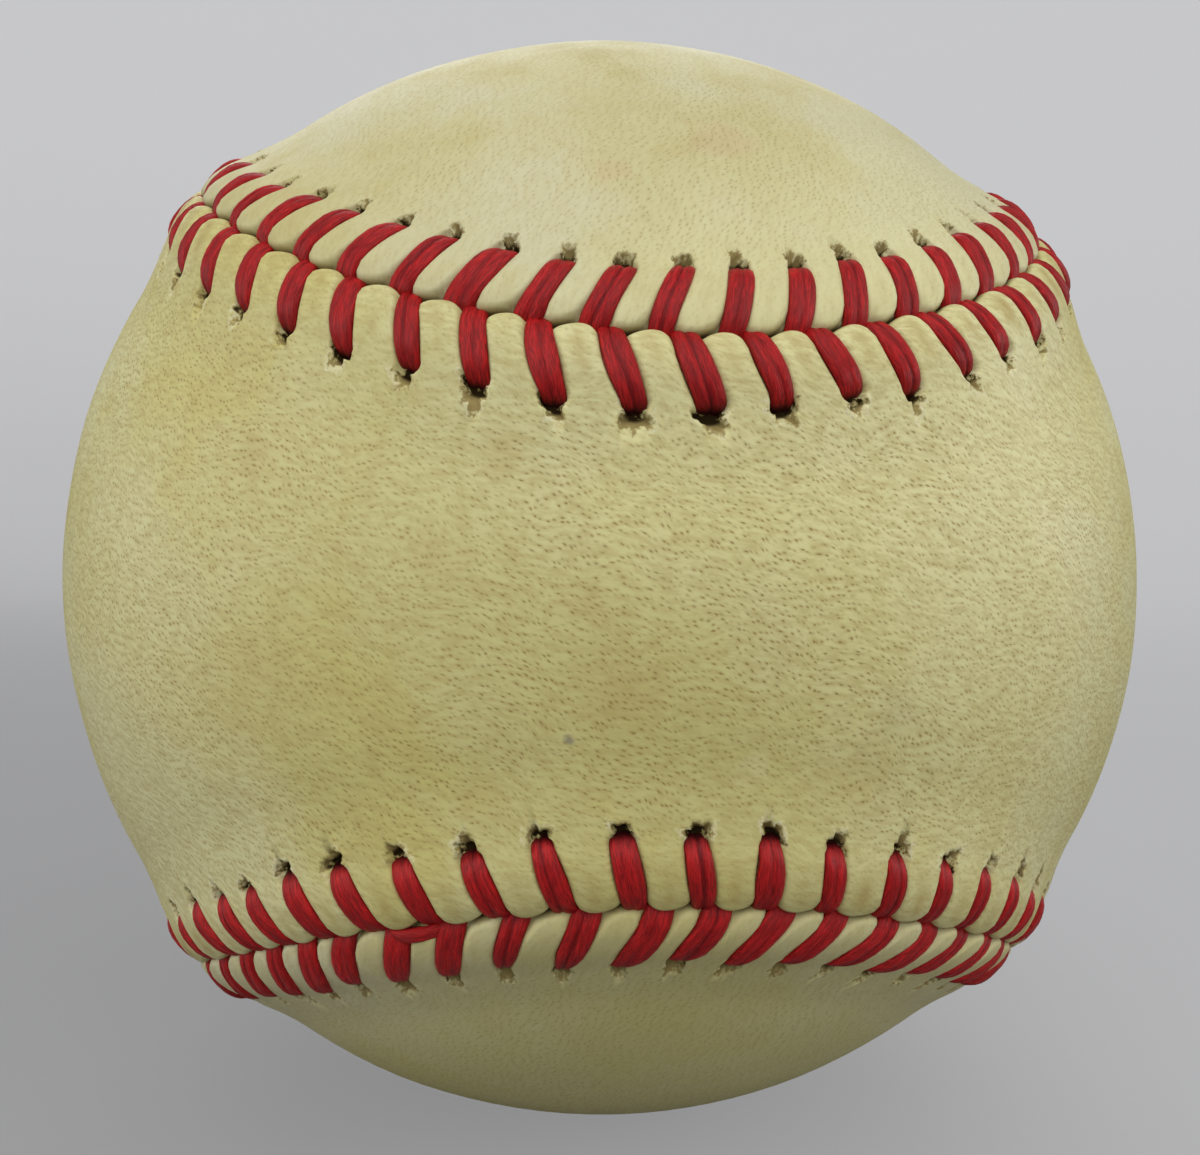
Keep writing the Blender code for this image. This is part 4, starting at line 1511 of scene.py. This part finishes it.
@dataclass
class Studio:
    """A pale floor that sweeps up into a wall all round, with a camera-only glow of painted light, soft
    light, and the photograph's camera.
    """

    radius: float
    floor_level: float
    azimuth: float = -5.84
    elevation: float = 3.48
    roll: float = 1.14
    distance_in_radii: float = 2.5
    limb_pixels: float = 537.0
    sensor_width: float = 36.0
    clip_start: float = 0.001
    floor_radius: float = 0.45
    sweep_radius: float = 0.45
    wall_height: float = 1.20
    floor_rings: int = 12
    sweep_rings: int = 40
    sides: int = 96
    floor_paper: Colour = (0.125, 0.126, 0.129)
    wall_paper: Colour = (0.820, 0.825, 0.840)
    bounce_paper: Colour = (0.245, 0.245, 0.245)
    bounce_height: float = 0.25
    glow_tint: Colour = (1.0, 1.0, 1.02)
    # Camera-only glow on the paper: painted light, dimmer on the left and brighter on the right of the
    # floor, which also softens the ball's shadow.
    floor_painted_light: Pair = (0.192, 0.325)
    floor_glow_edge: float = 0.06
    wall_glow: float = 0.52
    wall_glow_reach: Pair = (0.05, 1.0)
    paper_specular: float = 0.1
    paper_roughness: float = 0.9
    world_strength: float = 0.20

    def add_camera(self) -> None:
        """Adds the camera at the photograph's viewing angle.

        A ball of radius 1 seen from d radii away shows as a circle of focal length / sqrt(d^2 - 1).
        """
        focal = self.limb_pixels * math.sqrt(self.distance_in_radii**2 - 1)
        lens = bpy.data.cameras.new("photo_camera")
        lens.sensor_fit = "HORIZONTAL"
        lens.sensor_width = self.sensor_width
        lens.lens = self.sensor_width * focal / PHOTO_WIDTH
        lens.clip_start = self.clip_start
        away = self.radius * self.distance_in_radii
        camera = stand("photo_camera", lens, self.azimuth, self.elevation, away, self.roll)
        bpy.context.scene.camera = camera

    def add_sweep(self) -> None:
        """Adds the floor: a flat disc, a quarter circle up and a straight wall, turned round Z."""
        turn = np.linspace(0.0, math.pi / 2, self.sweep_rings)
        flat = np.linspace(0.0, self.floor_radius, self.floor_rings)[1:]
        reach = np.concatenate([flat, self.floor_radius + self.sweep_radius * np.sin(turn[1:])])
        rise = np.concatenate([np.zeros(len(flat)), self.sweep_radius * (1.0 - np.cos(turn[1:]))])
        reach = np.append(reach, reach[-1])
        rise = np.append(rise, self.wall_height)
        around = 2 * math.pi * np.arange(self.sides) / self.sides
        x = reach[:, None] * np.cos(around)
        y = reach[:, None] * np.sin(around)
        z = np.broadcast_to((self.floor_level + rise)[:, None], x.shape)
        points = np.concatenate([np.stack([x, y, z], -1).reshape(-1, 3), [[0.0, 0.0, self.floor_level]]])
        rows = tube_triangles(len(reach), self.sides)[: 2 * (len(reach) - 1) * self.sides]
        middle = np.arange(self.sides)
        hub = np.stack([np.full_like(middle, len(points) - 1), middle, (middle + 1) % self.sides], -1)
        mesh = bpy.data.meshes.new("studio_sweep")
        mesh.from_pydata(points.tolist(), [], np.concatenate([rows[:, ::-1], hub]).tolist())
        mesh.shade_smooth()
        sweep = bpy.data.objects.new("studio_sweep", mesh)
        bpy.context.scene.collection.objects.link(sweep)
        sheet = NodeSheet("pale_paper")
        place = sheet.place()
        axes = sheet.node("ShaderNodeSeparateXYZ", {0: place}).outputs
        seen = sheet.node("ShaderNodeLightPath", {}).outputs["Is Camera Ray"]
        bounce = sheet.ramp(axes["Z"], self.floor_level, self.bounce_height)
        bounce = sheet.mix(bounce, self.bounce_paper, self.wall_paper)
        # Painted light: the floor glows for the camera, brighter to the right, lifting the ball's shadow;
        # further out it rises to the wall's glow.
        near = sheet.ramp(axes["X"], -self.floor_glow_edge, self.floor_glow_edge, *self.floor_painted_light)
        glow = sheet.ramp(sheet.length(place), *self.wall_glow_reach, near, self.wall_glow)
        inputs = sheet.shader.inputs
        sheet.feed(inputs["Emission Color"], self.glow_tint)
        sheet.feed(inputs["Emission Strength"], sheet.product(seen, glow))
        inputs["Specular IOR Level"].default_value = self.paper_specular
        paper = sheet.finish(sheet.mix(seen, bounce, self.floor_paper), self.paper_roughness)
        mesh.materials.append(paper)

    def add_light(self, lamps: tuple[Lamp, ...]) -> None:
        """Adds the lamps and a dim world.

        Args:
            lamps: the lamps.
        """
        for lamp in lamps:
            lamp.add()
        world = bpy.data.worlds.new("studio_world")
        world.use_nodes = True
        inputs = world.node_tree.nodes["Background"].inputs
        inputs["Color"].default_value = (1.0, 1.0, 1.0, 1.0)
        inputs["Strength"].default_value = self.world_strength
        bpy.context.scene.world = world


# Lamps: azimuth, elevation, distance, diameter and power
LAMPS = (
    Lamp("key_lamp", -2.0, 48.0, 0.62, 0.80, 3.20),
    Lamp("front_lamp", 4.0, 10.0, 0.55, 0.26, 0.15),
    Lamp("left_lamp", -85.0, 9.0, 0.55, 0.24, 0.67),
    Lamp("right_lamp", 85.0, 9.0, 0.55, 0.24, 0.60),
    Lamp("back_lamp", 180.0, 35.0, 0.60, 0.50, 1.05),
)

HANDLED: Colour = (0.440, 0.380, 0.070)
YELLOW: Colour = (0.470, 0.415, 0.140)
BROWN: Colour = (0.380, 0.260, 0.075)
PINK: Colour = (0.520, 0.290, 0.190)
GREY: Colour = (0.200, 0.190, 0.140)
WHITE: Colour = (0.660, 0.625, 0.330)
STRAW: Colour = (0.520, 0.475, 0.165)

# Marks: azimuth, elevation, width, colour and strength
MARKS = (
    Mark(-2.0, -9.0, 36 * MM, HANDLED, 0.47, core=0.05, ragged=0.25),
    Mark(-33.0, 8.0, 34 * MM, YELLOW, 0.45, core=0.02, ragged=0.25),
    Mark(22.0, 14.0, 36 * MM, WHITE, 0.75, core=0.10, ragged=0.25),
    Mark(0.0, 16.0, 20 * MM, WHITE, 0.50, core=0.10, ragged=0.25),
    Mark(-50.0, -13.0, 30 * MM, WHITE, 0.45, core=0.10, ragged=0.25),
    Mark(38.0, -16.0, 26 * MM, WHITE, 0.45, core=0.10, ragged=0.25),
    Mark(0.0, -58.0, 46 * MM, STRAW, 0.60, core=0.20, ragged=0.25),
    Mark(-4.3, -4.4, 4.5 * MM, BROWN, 0.28),
    Mark(-6.5, 1.9, 3 * MM, BROWN, 0.22),
    Mark(-17.3, 4.4, 4 * MM, BROWN, 0.15),
    Mark(-34.3, 11.9, 3 * MM, BROWN, 0.22),
    Mark(-34.5, -6.9, 6 * MM, BROWN, 0.15),
    Mark(14.6, -11.6, 5 * MM, BROWN, 0.18),
    Mark(-14.4, -13.0, 3 * MM, BROWN, 0.18),
    Mark(-12.9, 12.0, 3 * MM, BROWN, 0.18),
    Mark(6.2, 41.6, 4 * MM, PINK, 0.24),
    Mark(-5.7, 37.0, 2.5 * MM, PINK, 0.20),
    Mark(17.0, -6.6, 3 * MM, GREY, 0.14),
    Mark(-7.8, -8.2, 0.6 * MM, GREY, 0.80),
    Mark(5.9, -10.4, 2.0 * MM, WHITE, 0.45),
)


def main() -> None:
    """Builds the ball and the studio round it."""
    logging.basicConfig(level=logging.INFO, format="%(message)s")
    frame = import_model()
    radius = -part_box("front_cover")[0].y
    wound_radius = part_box("finishing_yarn_winding")[1].x
    seam = SeamLine(radius)
    plan = StitchPlan(seam)
    back_leather = AgedLeather(
        radius,
        cream=(0.525, 0.485, 0.248),
        pale=(0.560, 0.532, 0.335),
        pore_strength=0.54,
        streak_strength=0.20,
        crown_stain=0.30,
        fray_strength=0.18,
    )
    leathers = {
        Side.FRONT: AgedLeather(radius).material("front_leather_finish", MARKS),
        Side.BACK: back_leather.material("back_leather_finish", MARKS),
    }
    for side, leather in leathers.items():
        piece = CoverPanel(seam, plan, side, wound_radius + COVER_CLEARANCE).build(leather)
        LOG.info("%s: %d triangles", piece.name, len(piece.data.polygons))
    thread = WaxedThread().material("waxed_thread")
    piece = Stitching(seam, plan, wound_radius + THREAD_CLEARANCE).build(thread)
    LOG.info("%s: %d triangles", piece.name, len(piece.data.polygons))
    InnerLayers(frame["nodes"]).dress()
    studio = Studio(radius, floor_level=-radius)
    studio.add_camera()
    studio.add_sweep()
    studio.add_light(LAMPS)
    bpy.context.scene.view_settings.view_transform = "Standard"


if __name__ == "__main__":
    main()
